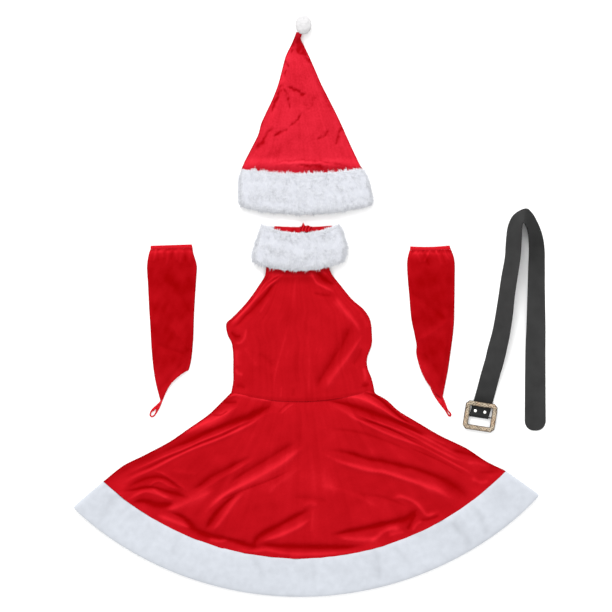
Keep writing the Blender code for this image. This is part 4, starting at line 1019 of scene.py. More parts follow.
def antique_brass(name, rubbed, patina):
    """Cast zinc, brass plated and antiqued: dark in its recesses, rubbed bright on its high places."""
    made, tree, shader = new_material(name, metallic=0.75, roughness=0.42)
    where = add_node(tree, "TexCoord").outputs["Object"]
    relief = add_node(tree, "Attribute", attribute_name="relief").outputs["Fac"]
    # casting grain, 0.9 mm across
    grain = add_node(tree, "TexNoise", {"Vector": where, "Scale": 1 / (0.91 * MM), "Detail": 4.0})
    # tarnished blotches, 6 mm across
    blotch = add_node(tree, "TexNoise", {"Vector": where, "Scale": 1 / (6.25 * MM), "Detail": 3.0})
    shift = add_node(
        tree, "MapRange", {"Value": blotch.outputs["Fac"], **FROM_NOISE, "To Min": -0.22, "To Max": 0.22},
    )
    share = add_node(tree, "Math", {0: relief, 1: shift.outputs[0]}, use_clamp=True)
    mixed = add_node(
        tree, "Mix", {0: share.outputs[0], 6: opaque(patina), 7: opaque(rubbed)}, data_type="RGBA",
    )
    # worn places, 20 mm across, where the copper under the brass shows
    patches = add_node(tree, "TexNoise", {"Vector": where, "Scale": 1 / (20.0 * MM), "Detail": 2.0})
    bare = add_node(
        tree, "MapRange",
        {"Value": patches.outputs["Fac"], "From Min": 0.45, "From Max": 0.62, "To Max": 0.35},
    )
    reddened = add_node(
        tree, "Mix",
        {0: bare.outputs[0], 6: mixed.outputs[2], 7: opaque((1.0, 0.66, 0.42))}, data_type="RGBA",
        blend_type="MULTIPLY",
    )
    tree.links.new(reddened.outputs[2], shader.inputs["Base Color"])
    rough = add_node(tree, "MapRange", {"Value": share.outputs[0], "To Min": 0.7, "To Max": 0.34})
    tree.links.new(rough.outputs[0], shader.inputs["Roughness"])
    pitted = add_node(
        tree, "Bump", {"Height": grain.outputs["Fac"], "Strength": 0.4, "Distance": 0.15 * MM},
    )
    tree.links.new(pitted.outputs[0], shader.inputs["Normal"])
    return made


def plain_metal(name, colour, roughness, scratch):
    """A turned or drawn metal part: scratches, coarser than real ones, break its shine."""
    made, tree, shader = new_material(name, metallic=1.0, base_color=opaque(colour))
    where = add_node(tree, "TexCoord").outputs["Object"]
    scratches = add_node(tree, "TexNoise", {"Vector": where, "Scale": 1 / (scratch * MM), "Detail": 5.0})
    rough = add_node(
        tree, "MapRange",
        {"Value": scratches.outputs["Fac"], "To Min": roughness - 0.08, "To Max": roughness + 0.1},
    )
    tree.links.new(rough.outputs[0], shader.inputs["Roughness"])
    return made


def once(make, name, *colours, **sizes):
    """The material of that name, made when it is first asked for."""
    return bpy.data.materials.get(name) or make(name, *colours, **sizes)


def dress_velvet():
    chosen = bpy.context.scene.costume.velvet
    return once(velvet, "stretch_velvet_sheared", chosen.dark, chosen.red, chosen.bright, pile=0.06)


def hat_velvet():
    chosen = bpy.context.scene.costume.velvet
    return once(
        velvet, "crushed_velvet_pressed", chosen.hat_dark, chosen.hat_red, chosen.hat_bright, pile=0.16)


def long_plush():
    chosen = bpy.context.scene.costume.plush
    return once(plush, "polyester_plush_long", chosen.white, chosen.shade, clump=9.0, depth=1.0)


def ball_plush():
    white = bpy.context.scene.costume.plush.ball_white
    # painted shade between the pompom's locks
    painted_shade = tuple(0.6 * v for v in white)
    return once(plush, "polyester_plush_dense", white, painted_shade, clump=6.0, depth=0.6)


def short_plush():
    white = bpy.context.scene.costume.plush.hem_white
    # painted shade in the hem's dents and gathered streaks
    painted_shade = tuple(0.8 * v for v in white)
    return once(plush, "polyester_plush_sheared", white, painted_shade, clump=14.0, depth=0.4)


# Heights of the cloth's undersides, near those of the part's solids

def small_wrinkles(x, y, seed):
    height = bpy.context.scene.costume.velvet.wrinkle / MM
    return height * (ripples(x, y, 110, seed) + 0.2 * ripples(x, y, 34, seed + 1))


def bodice_under(x, y, across, along, creases):
    from_side = 1 - np.abs(2 * across - 1)
    puff = 3.4 * smoothstep(0.0, 0.3, from_side)
    free = 1 - smoothstep(0.9, 0.955, along)
    neck = (FUR_BACK + SEAM - FRONT_REST - 0.2) * smoothstep(0.84, 0.95, along)
    seam = 0.7 + 0.3 * smoothstep(0.0, 0.022, along)
    bends = creases + small_wrinkles(x, y, 11)
    edge = armhole_edge(y, across, along)
    return FRONT_REST + neck + above(free * seam * (puff + bends * from_side ** 0.25)) + edge


def armhole_edge(y, across, along):
    """The turned and stitched edge of the armholes: a flat rib, then a groove at the stitching."""
    left_x, left_y, right_x, right_y = blend(BODICE + [BODICE_FRONT_TOP], along)[:4]
    from_edge = np.minimum(across, 1 - across) * np.hypot(right_x - left_x, right_y - left_y)
    there = smoothstep(150, 166, y) * (1 - smoothstep(264, 278, y))
    rib = 0.5 * (1 - smoothstep(5.5, 7, from_edge))
    groove = 0.5 * np.exp(-((from_edge - 8.2) / 1.3) ** 2)
    return there * (rib - groove)


def skirt_under(x, y, across, along, creases):
    from_side = 1 - np.abs(2 * across - 1)
    puff = 4.2 * smoothstep(0.0, 0.2, from_side) * smoothstep(-0.02, 0.3, along)
    seam_rise = (TRIM_BACK + SEAM + 0.6 - FRONT_REST) * smoothstep(0.93, 1.0, along)
    bends = (creases + small_wrinkles(x, y, 21)) * smoothstep(0.0, 0.06, from_side)
    relief = above(puff * (1 - 0.8 * smoothstep(0.93, 1.0, along)) + bends)
    near_hem = np.exp(-((1 - along) * SKIRT_LENGTH / 9) ** 2)
    near_waist = np.exp(-(along * SKIRT_LENGTH / 12) ** 2)
    pucker = 1.1 * near_hem * above(ripples(across * HEM_LENGTH, along * 60, 34, 31), 0.3)
    gathers = 0.35 * near_waist * ripples(across * 300, along * 40, 17, 33)
    return FRONT_REST + relief + seam_rise + pucker + above(gathers)


def tip_rise(y):
    return 10.0 * smoothstep(262, 286, y)


def hat_under(x, y, across, along, creases):
    from_side = 1 - np.abs(2 * across - 1)
    puff = 4.5 * smoothstep(0.0, 0.35, from_side) * (1 - smoothstep(200, 280, y))
    brim = (FUR_BACK + SEAM - FRONT_REST - 0.2) * (1 - smoothstep(4, 26, y))
    free = smoothstep(0.033, 0.1, along)
    bends = creases + small_wrinkles(x, y, 41)
    return FRONT_REST + brim + above(free * (puff + bends * from_side ** 0.25)) + tip_rise(y)


def hat_back_under(x, y, across, along, creases):
    return tip_rise(y)


def flat_under(x, y, across, along, creases):
    return np.zeros_like(x)


# Plush bands and locks

COMBED = np.array([0.0, -0.5, 0.0])     # the way that the long plush lies on the front
PRESSED = np.array([0.0, 0.0, -0.5])    # and under the garment
# painted shade along each lock, deepest at its root
LOCK_SHADE = [0.6] * 3 + [0.85] * 3 + [1.0]   # at a lock's root, its bend and its point


def band(
        courses, columns, rows, floor, top, dents, pull, ends,
        seamed=False, inset=(0.0, 0.0), lumpy=0.0, seed=0):
    """Upper and lower grids of a plush band with rounded edges and a soft crown.

    floor gives the height that it lies on. pull draws its corners in, inset its edges, and its
    ends round off over that share of its length.
    """
    across, along = np.meshgrid(spread(columns, 0.35), spread(rows, 0.6))
    s = 2 * across - 1
    t = 2 * along - 1
    corner = (s * s * t * t) ** 6
    if seamed:
        corner = np.where(t < 0, 0.0, corner)
    part = 0.5 + 0.5 * s * (1 - pull[0] * corner) * (1 - inset[0])
    down = 0.5 + 0.5 * t * (1 - pull[1] * corner) * (1 - inset[1])
    x, y = on_courses(courses, part, down)
    base = floor(part, down)
    from_end = np.minimum(across, 1 - across)
    side = np.sqrt(np.maximum(0.0, 1 - (1 - np.minimum(1.0, from_end / ends)) ** 2))
    swell = crown(along) * side
    lumps = 0.6 * creased(dents, x, y)[0]
    lumps += lumpy * (ripples(x, y, 34, seed) + 0.6 * ripples(x, y, 15, seed + 1))
    high = base + 1 + (top - base - 1) * swell + lumps * swell
    return np.stack([x, y, high], axis=-1), np.stack([x, y, base + 0 * x], axis=-1)


def at_place(grid, place):
    return grid + np.array([place.x, place.y, 0.0])


def on_floor(part, down):
    return np.zeros_like(part)


def on_back_trim(part, down):
    return np.full_like(part, TRIM_BACK + SEAM)


def softly_lit(normal, through=0.8):
    """The normal, raised as far as light passes through a mass of white fibres.

    Its sides are then lit nearly as its top.
    """
    soft = normal + np.array([0.0, 0.0, through])
    return soft / np.linalg.norm(soft, axis=-1, keepdims=True)


def locks(roots, leans, lengths, radius, droop, ground, source):
    """Closed three-sided locks, lying flat as combed ones do, each bent once and drawn to a point.

    Each is lit mostly as the ground that it grows from, so that a mass of them looks soft.
    """
    count = len(roots)
    axis = leans / np.linalg.norm(leans, axis=1, keepdims=True)
    side = np.cross(axis, ground)
    side /= np.linalg.norm(side, axis=1, keepdims=True)
    other = np.cross(axis, side)
    turn = source.normal(-pi / 2, 0.25, count)[:, None]
    rings = []
    normals = []
    for share, girth in ((0.0, 1.0), (0.55, 0.7)):
        reach = (lengths * share)[:, None]
        sunk = (lengths * share ** 2 * 0.5)[:, None]
        centre = roots + axis * reach + droop * sunk
        for k in range(3):
            angle = turn + k * tau / 3
            out = np.cos(angle) * side + np.sin(angle) * other
            flat = 1.7 * np.cos(angle) * side + 0.5 * np.sin(angle) * other
            rings.append(centre + radius * girth * flat)
            normals.append(ground + 0.06 * out)
    rings.append(roots + axis * lengths[:, None] + droop * (lengths * 0.5)[:, None])
    normals.append(ground + 0.1 * axis)
    points = np.stack(rings, axis=1).reshape(-1, 3)
    normals = np.stack(normals, axis=1).reshape(-1, 3)
    normals /= np.linalg.norm(normals, axis=1, keepdims=True)
    first = (np.arange(count) * 7)[:, None]
    quads = np.concatenate([
        first + np.array([k, (k + 1) % 3, 3 + (k + 1) % 3, 3 + k]) for k in range(3)
    ])
    ends = [[2, 1, 0], [3, 4, 6], [4, 5, 6], [5, 3, 6]]
    triangles = np.concatenate([first + np.array(corners) for corners in ends])
    return points, quads.tolist() + triangles.tolist(), normals, np.tile(LOCK_SHADE, count)


def grow_locks(grid, count, length, radius, flow, overhang, source):
    """Locks rooted all over a grid, combed the way that flow says.

    overhang is how far they may reach past the grid's left, right, first and last edge.
    """
    columns = grid.shape[1]
    ground = normals_of(grid)
    corner = grid[:-1, :-1]
    cell = np.linalg.norm(np.cross(grid[1:, :-1] - corner, grid[:-1, 1:] - corner), axis=-1).ravel()
    chosen = source.choice(len(cell), count, p=cell / cell.sum())
    u, v = source.random((2, count, 1))
    row = chosen // (columns - 1)
    column = chosen % (columns - 1)

    def at(values):
        before = values[row, column] * (1 - u) + values[row, column + 1] * u
        after = values[row + 1, column] * (1 - u) + values[row + 1, column + 1] * u
        return before * (1 - v) + after * v

    roots = at(grid)
    normal = at(ground)
    x, y = roots[:, 0], roots[:, 1]
    swirl = np.stack([
        ripples(x, y, 34, 71) + 0.5 * ripples(x, y, 13, 72),
        ripples(x, y, 34, 73) + 0.5 * ripples(x, y, 13, 74),
        np.zeros(count),
    ], axis=1)
    edges = [grid[row, 0], grid[row, -1], grid[0, column], grid[-1, column]]
    away = [edges[k] - edges[1 - k if k < 2 else 5 - k] for k in range(4)]
    away = [way / np.linalg.norm(way, axis=1, keepdims=True) for way in away]
    gaps = [np.abs(np.sum((edge - roots) * way, axis=1)) for edge, way in zip(edges, away)]
    lean = 0.08 * normal + 0.1 * swirl + flow
    for way, gap in zip(away, gaps):
        lean += 1.1 * way * np.exp(-(gap / 11) ** 2)[:, None]
    lean += source.normal(0, (0.12, 0.12, 0.03), (count, 3))
    lean[:, 2] = np.maximum(lean[:, 2], 0.03)
    lean /= np.linalg.norm(lean, axis=1, keepdims=True)
    lengths = length * (0.6 + 0.5 * source.random(count))
    tuft = 1 + 0.6 * ripples(x, y, 16, 75) + 0.5 * ripples(x, y, 6, 76)
    for way, gap, most in zip(away, gaps, overhang):
        outward = np.maximum(np.sum(lean * way, axis=1), 0.05)
        strays = 0.8 + 1.3 * source.random(count) ** 5
        lengths = np.minimum(lengths, (gap + most * strays * np.clip(tuft, 0.35, 1.6)) / outward)
    droop = np.array([[0.0, 0.0, -0.16]]) + 0.15 * swirl
    lengths = np.maximum(lengths, 3.0)
    return locks(roots - normal * 0.8, lean, lengths, radius, droop, softly_lit(normal), source)


def fur_piece(name, place, grids, count, length, radius, flow, overhang, seed, finish):
    """A long plush band: its pillow and the locks that grow from it."""
    upper, lower = (at_place(grid, place) for grid in grids)
    source = np.random.default_rng(seed)
    body, body_faces = shell(upper, lower)
    hair, hair_faces, hair_normals, hair_shade = grow_locks(
        upper, count, length, radius, flow, overhang, source,
    )
    faces = body_faces.tolist() + [[corner + len(body) for corner in face] for face in hair_faces]
    top_normals = softly_lit(normals_of(upper)).reshape(-1, 3)
    under_normals = np.zeros_like(top_normals)
    # the pillow, seen between the locks, takes painted shade
    mesh = make_mesh(
        name, np.concatenate([body, hair]), faces,
        {"light_and_nap": np.concatenate([np.full(len(body), 0.2), hair_shade])},
        np.concatenate([top_normals, under_normals, hair_normals]),
    )
    return add_piece(mesh, finish, [name])


# Operators

class COSTUME_OT_stage(bpy.types.Operator):
    """Adds the floor, the soft lights and the camera, straight above the costume"""

    bl_idname = "costume.add_stage"
    bl_label = "Add stage"

    def execute(self, context):
        chosen = context.scene.costume.stage
        context.scene.view_settings.view_transform = "Standard"
        floor = bpy.data.meshes.new("floor")
        half = 20.0   # metres, so that no edge of it shows
        floor.from_pydata(
            [(-half, -half, 0), (half, -half, 0), (half, half, 0), (-half, half, 0)], [], [(0, 1, 2, 3)])
        paper, _, shader = new_material("floor_paper_matt", roughness=0.9, specular_ior_level=0.1)
        shader.inputs["Base Color"].default_value = opaque(linear("#F6F6F6"))
        floor.materials.append(paper)
        ground = bpy.data.objects.new("floor", floor)
        ground.location.z = -0.2 * MM
        context.scene.collection.objects.link(ground)

        world = bpy.data.worlds.new("studio")
        world.use_nodes = True
        background = world.node_tree.nodes["Background"]
        background.inputs["Color"].default_value = opaque(linear("#FFFFFF"))
        background.inputs["Strength"].default_value = chosen.fill
        context.scene.world = world

        self.soft_box("key_light", at=(-1.1, 4.2, 3.1), size=2.2, power=chosen.key)
        self.camera(chosen.height)
        return {"FINISHED"}

    def soft_box(self, name, at, size, power):
        light = bpy.data.lights.new(name, "AREA")
        light.shape = "SQUARE"
        light.size = size
        light.energy = power
        lamp = bpy.data.objects.new(name, light)
        lamp.location = at
        lamp.rotation_euler = (-Vector(at)).to_track_quat("-Z", "Y").to_euler()
        bpy.context.scene.collection.objects.link(lamp)

    def camera(self, height):
        """Straight above the photograph's middle, seeing what the photograph does."""
        seen = PHOTO_SIDE * PHOTO_PIXEL * MM
        camera = bpy.data.cameras.new("camera")
        camera.sensor_width = 36.0
        camera.lens = camera.sensor_width * height / seen
        camera.clip_end = 100.0
        eye = bpy.data.objects.new("camera", camera)
        eye.location = (PHOTO_MIDDLE.x * MM, PHOTO_MIDDLE.y * MM, height)
        bpy.context.scene.collection.objects.link(eye)
        bpy.context.scene.camera = eye


class COSTUME_OT_bodice(bpy.types.Operator):
    """Makes the halter bodice's front and back, with turned armhole edges"""

    bl_idname = "costume.make_bodice"
    bl_label = "Make bodice"

    def execute(self, context):
        finish = dress_velvet()
        front = cloth_piece(
            "bodice_front", DRESS_AT, BODICE + [BODICE_FRONT_TOP], columns=150, rows=150,
            under=bodice_under, creases=BODICE_CREASES, finish=finish,
        )
        back = cloth_piece(
            "bodice_back", DRESS_AT, BODICE + [BODICE_BACK_TOP], columns=50, rows=60,
            under=flat_under, creases=(), finish=finish,
        )
        return {"FINISHED"}


class COSTUME_OT_skirt(bpy.types.Operator):
    """Makes the skirt's front and back, part circles with the photograph's folds"""

    bl_idname = "costume.make_skirt"
    bl_label = "Make skirt"

    def execute(self, context):
        finish = dress_velvet()
        front = cloth_piece(
            "skirt_front", DRESS_AT, SKIRT, columns=330, rows=130,
            under=skirt_under, creases=SKIRT_CREASES, finish=finish, over=2.0, shade=0.16,
        )
        back = cloth_piece(
            "skirt_back", DRESS_AT, SKIRT, columns=90, rows=40,
            under=flat_under, creases=(), finish=finish,
        )
        return {"FINISHED"}


class COSTUME_OT_hem(bpy.types.Operator):
    """Makes the hem's two strips of short plush"""

    bl_idname = "costume.make_hem"
    bl_label = "Make hem trim"

    def execute(self, context):
        finish = short_plush()
        pull = (0.008, 0.1)
        grids = band(
            HEM, columns=330, rows=26, floor=on_back_trim, top=TRIM_HEIGHT, dents=HEM_DENTS, pull=pull,
            ends=0.01, seamed=True, lumpy=0.35, seed=51,
        )
        front = self.strip("hem_trim_front", grids, HEM_DENTS, finish)
        grids = band(
            HEM, columns=160, rows=10, floor=on_floor, top=TRIM_BACK, dents=(), pull=pull,
            ends=0.01, seamed=True,
        )
        back = self.strip("hem_trim_back", grids, (), finish)
        return {"FINISHED"}

    def strip(self, name, grids, dents, finish):
        """A strip with painted shade in streaks near the seam, where it is gathered, and in its dents, and
        some random variation.
        """
        tone = creased(dents, grids[0][..., 0], grids[0][..., 1])[1]
        upper, lower = (at_place(grid, DRESS_AT) for grid in grids)
        rows, columns = upper.shape[:2]
        across, along = np.meshgrid(np.linspace(0, 1, columns), np.linspace(0, 1, rows))
        streaks = np.clip(ripples(across * 1000, along * 60, 42, 53), 0, 1)
        # painted shade in streaks near the seam, and random variation
        light_and_nap = 0.8 - 0.5 * np.exp(-along / 0.3) * streaks
        light_and_nap = light_and_nap + 0.08 * ripples(across * 1000, along * 84, 120, 54) + tone
        points, faces = shell(upper, lower)
        return add_piece(with_light_and_nap(name, points, faces, np.clip(light_and_nap, 0, 1)), finish, [name])


class COSTUME_OT_collar(bpy.types.Operator):
    """Makes the plush collar's halves, the red lining behind it and the gathered closure"""

    bl_idname = "costume.make_collar"
    bl_label = "Make collar"

    def execute(self, context):
        chosen = context.scene.costume.plush
        length = chosen.lock_length / MM
        finish = long_plush()

        def floor(part, down):
            over_cloth = smoothstep(0.0, 0.09, np.minimum(part, 1 - part))
            return FUR_BACK + SEAM + (CLOTH + SEAM) * over_cloth

        front_grids = band(
            COLLAR_FRONT, columns=90, rows=44, floor=floor, top=COLLAR_HEIGHT - PILE, dents=COLLAR_LUMPS,
            pull=(0.006, 0.012), ends=0.08, inset=(0.022, 0.03), lumpy=0.08, seed=61,
        )
        front = fur_piece(
            "collar_front", DRESS_AT, front_grids, chosen.collar_locks, length=length, radius=0.3,
            flow=COMBED, overhang=(3.0, 3.0, 3.2, 2.4), seed=62, finish=finish,
        )
        back_grids = band(
            COLLAR_BACK, columns=50, rows=16, floor=on_floor, top=FUR_BACK - 0.4, dents=(),
            pull=(0.02, 0.05), ends=0.05, inset=(0.045, 0.09),
        )
        back = fur_piece(
            "collar_back", DRESS_AT, back_grids, chosen.back_locks, length=0.5 * length, radius=0.5,
            flow=PRESSED, overhang=(4.0, 4.0, 4.0, 2.0), seed=63, finish=finish,
        )
        self.lining()
        self.closure()
        return {"FINISHED"}

    def lining(self):
        """The red lining that shows behind the dipped front of the collar."""
        low = FUR_BACK + SEAM
        across, along = np.meshgrid(spread(90), spread(30))
        x, y = on_courses(NECK_LINING, across, along)
        high = low + CLOTH + 0.35 * ripples(x, y * 0.4, 22, 81) * crown(across)
        upper = at_place(np.stack([x, y, np.maximum(high, low + 0.8)], axis=-1), DRESS_AT)
        lower = at_place(np.stack([x, y, np.full_like(x, low)], axis=-1), DRESS_AT)
        light_and_nap = 0.62 + 0.12 * ripples(x, y, 20, 82)
        points, faces = shell(upper, lower)
        mesh = with_light_and_nap("neck_lining", points, faces, light_and_nap)
        piece = add_piece(mesh, dress_velvet(), ["neck_lining"])

    def closure(self):
        """The gathered bunch of cloth where the back of the neck closes."""
        low = FUR_BACK + SEAM + CLOTH + SEAM
        across, along = np.meshgrid(spread(72), spread(20))
        x, y = on_courses(CLOSURE, across, along)
        wave = np.sin(tau * 4 * (across + 0.08 * np.sin(5 * along)))
        pucker = 0.3 * np.sin(tau * 9 * across + 4 * along)
        peak = 6.5 * np.exp(-((across - 0.3) / 0.09) ** 2)
        ruffle = smoothstep(0.5, 1.0, along) * (peak + 0.7 * np.sin(tau * 3 * across + 1))
        high = low + 1.7 + (1.6 * wave + pucker) * (0.5 + 0.5 * along) + 2.0 * crown(across)
        lower = at_place(np.stack([x, y + ruffle, high], axis=-1), DRESS_AT)
        upper = lower + np.array([0.0, 0.0, 1.2])
        # painted highlight on the ruffle's crests and painted shade in its troughs
        light_and_nap = np.clip(0.55 + 0.3 * wave, 0, 1)
        points, faces = shell(upper, lower)
        mesh = with_light_and_nap("neck_closure", points, faces, light_and_nap)
        piece = add_piece(mesh, dress_velvet(), ["neck_closure"])


class COSTUME_OT_hat(bpy.types.Operator):
    """Makes the pointed hat's front and back, in crushed velvet with pressed marks and painted shade in its
    dents
    """

    bl_idname = "costume.make_hat"
    bl_label = "Make hat"

    def execute(self, context):
        finish = hat_velvet()
        front = cloth_piece(
            "hat_front", HAT_AT, [HAT_FRONT_BASE] + HAT, columns=110, rows=160,
            under=hat_under, creases=HAT_CREASES, finish=finish, ragged=1.3,
        )
        back = cloth_piece(
            "hat_back", HAT_AT, [HAT_BACK_BASE] + HAT, columns=40, rows=60,
            under=hat_back_under, creases=(), finish=finish,
        )
        return {"FINISHED"}


class COSTUME_OT_brim(bpy.types.Operator):
    """Makes the hat's plush brim, front and back"""

    bl_idname = "costume.make_brim"
    bl_label = "Make brim"

    def execute(self, context):
        chosen = context.scene.costume.plush
        length = chosen.lock_length / MM
        finish = long_plush()

        def floor(part, up):
            return FUR_BACK + SEAM + (CLOTH + 2 * SEAM) * smoothstep(0.55, 0.72, up)

        front_grids = band(
            BRIM_FRONT, columns=120, rows=44, floor=floor, top=BRIM_HEIGHT - PILE, dents=BRIM_LUMPS,
            pull=(0.02, 0.05), ends=0.05, inset=(0.018, 0.045), lumpy=0.08, seed=91,
        )
        front = fur_piece(
            "brim_front", HAT_AT, front_grids, chosen.brim_locks, length=0.9 * length, radius=0.3,
            flow=COMBED, overhang=(3.0, 3.0, 3.0, 4.4), seed=92, finish=finish,
        )
        back_grids = band(
            BRIM_BACK, columns=60, rows=16, floor=on_floor, top=FUR_BACK - 0.4, dents=(),
            pull=(0.02, 0.05), ends=0.05, inset=(0.035, 0.09),
        )
        back = fur_piece(
            "brim_back", HAT_AT, back_grids, chosen.back_locks, length=0.5 * length, radius=0.5,
            flow=PRESSED, overhang=(4.0, 4.0, 4.0, 2.0), seed=93, finish=finish,
        )
        return {"FINISHED"}


def directions(down, around):
    """Unit vectors, from their angle down from straight up and their angle around it."""
    return np.stack([np.sin(down) * np.cos(around), np.sin(down) * np.sin(around), np.cos(down)], axis=-1)


class COSTUME_OT_pompom(bpy.types.Operator):
    """Makes the hat's plush pompom, an egg of short dense locks"""

    bl_idname = "costume.make_pompom"
    bl_label = "Make pompom"

    def execute(self, context):
        source = np.random.default_rng(101)
        centre = np.array([3.5 + HAT_AT.x, 303.0 + HAT_AT.y, POMPOM[2] / 2 + LOCK + SEAM])
        turns, rows = 48, 30
        pole = 0.06   # radians that the first ring lies from the top
        around, down = np.meshgrid(np.arange(turns) / turns * tau, np.linspace(pole, pi - pole, rows))
        way = directions(down, around)
        radii = np.array(POMPOM) / 2 + LOCK
        bumps = 1 + 0.02 * ripples(40 * way[..., 0], 40 * (way[..., 1] + way[..., 2]), 24, 102)[..., None]
        ball = (way * radii * bumps + centre).reshape(-1, 3)
        caps = np.array([centre + [0, 0, radii[2]], centre - [0, 0, radii[2]]])
        quads = grid_quads(rows, turns, closed=True)[:, ::-1].tolist()
        step = np.arange(turns)
        after = (step + 1) % turns
        total = rows * turns
        top = np.stack([np.full(turns, total), step, after], axis=-1).tolist()
        last = (rows - 1) * turns
        bottom = np.stack([np.full(turns, total + 1), last + after, last + step], axis=-1).tolist()

        count = 4600
        index = np.arange(count) + 0.5
        tilt = np.arccos(1 - 2 * index / count)
        turn = pi * (1 + 5 ** 0.5) * index
        out = directions(tilt, turn)
        roots = out * radii * 0.97 + centre
        swirl = np.stack([
            ripples(60 * out[:, k], 60 * out[:, (k + 1) % 3], 30, 103 + k) for k in range(3)
        ], axis=1)
        swept = np.cross(out, swirl)
        swept /= np.linalg.norm(swept, axis=1, keepdims=True)
        lean = 0.1 * out + swept + source.normal(0, 0.16, (count, 3))
        lengths = LOCK * (0.8 + 0.3 * source.random(count))
        lengths *= 1 - 0.45 * smoothstep(0.5, 1.0, -out[:, 2])
        through = 1.8   # light passes deep into the ball
        hair, hair_faces, normals, light_and_nap = locks(
            roots, lean, lengths, 0.3, -0.4 * out, softly_lit(out, through), source,
        )
        body = np.concatenate([ball, caps])
        faces = quads + top + bottom + [[corner + len(body) for corner in face] for face in hair_faces]
        # painted shade on the ball between the locks, which are lit nearly full
        mesh = make_mesh(
            "pompom", np.concatenate([body, hair]), faces,
            {"light_and_nap": np.concatenate([np.full(len(body), 0.6), np.maximum(light_and_nap, 0.9)])},
            np.concatenate([softly_lit(way, through).reshape(-1, 3), np.zeros((2, 3)), normals]),
        )
        piece = add_piece(mesh, ball_plush(), ["pompom"])
        return {"FINISHED"}


def flat_tube(courses, wall, space, creases, columns, below, rows, puff, first, seed):
    """Outer and inner grids of a cloth tube pressed flat, with rounded edges, and its creases' tone.

    space is the gap between its two layers. puff lifts the top layer along the tube, and first lifts
    it at the first edge.
    """
    top_share = spread(columns, 0.6)
    under_share = spread(below, 0.6)[::-1][1:-1]
    share = np.concatenate([top_share, under_share])
    is_top = np.arange(len(share)) <= columns
    across, along = np.meshgrid(share, spread(rows))
    on_top = np.broadcast_to(is_top, across.shape)
    left_x, left_y, right_x, right_y = blend(courses, along)[:4]
    width = np.hypot(right_x - left_x, right_y - left_y)
    full = 2 * wall + space
    middle = (full + 0.6) / 2
    round_over = 3.0
    grids = []
    for inset in (0.0, wall):
        part = 0.5 + (across - 0.5) * (1 - 2 * inset / width)
        x, y = on_courses(courses, part, along)
        from_side = 1 - np.abs(2 * part - 1)
        from_edge = np.minimum(across, 1 - across) * width
        swell = puff * smoothstep(0.0, 0.4, from_side) * smoothstep(0.0, 0.1, along)
        swell += first * smoothstep(0.0, 0.06, from_side) * (1 - smoothstep(0.0, 0.07, along))
        height, tone = creased(creases, x, y)
        bends = height + small_wrinkles(x, y, seed)
        high = full + above(swell + bends * smoothstep(0, 0.1, from_side), 0.3)
        round_off = np.sqrt(np.maximum(0.0, 1 - (1 - np.minimum(1.0, from_edge / round_over)) ** 2))
        up = middle + (high - inset - middle) * round_off
        down = middle + (inset - middle) * round_off
        grids.append(np.stack([x, y, np.where(on_top, up, down)], axis=-1))
    return grids, x, y, tone * on_top, from_edge, along


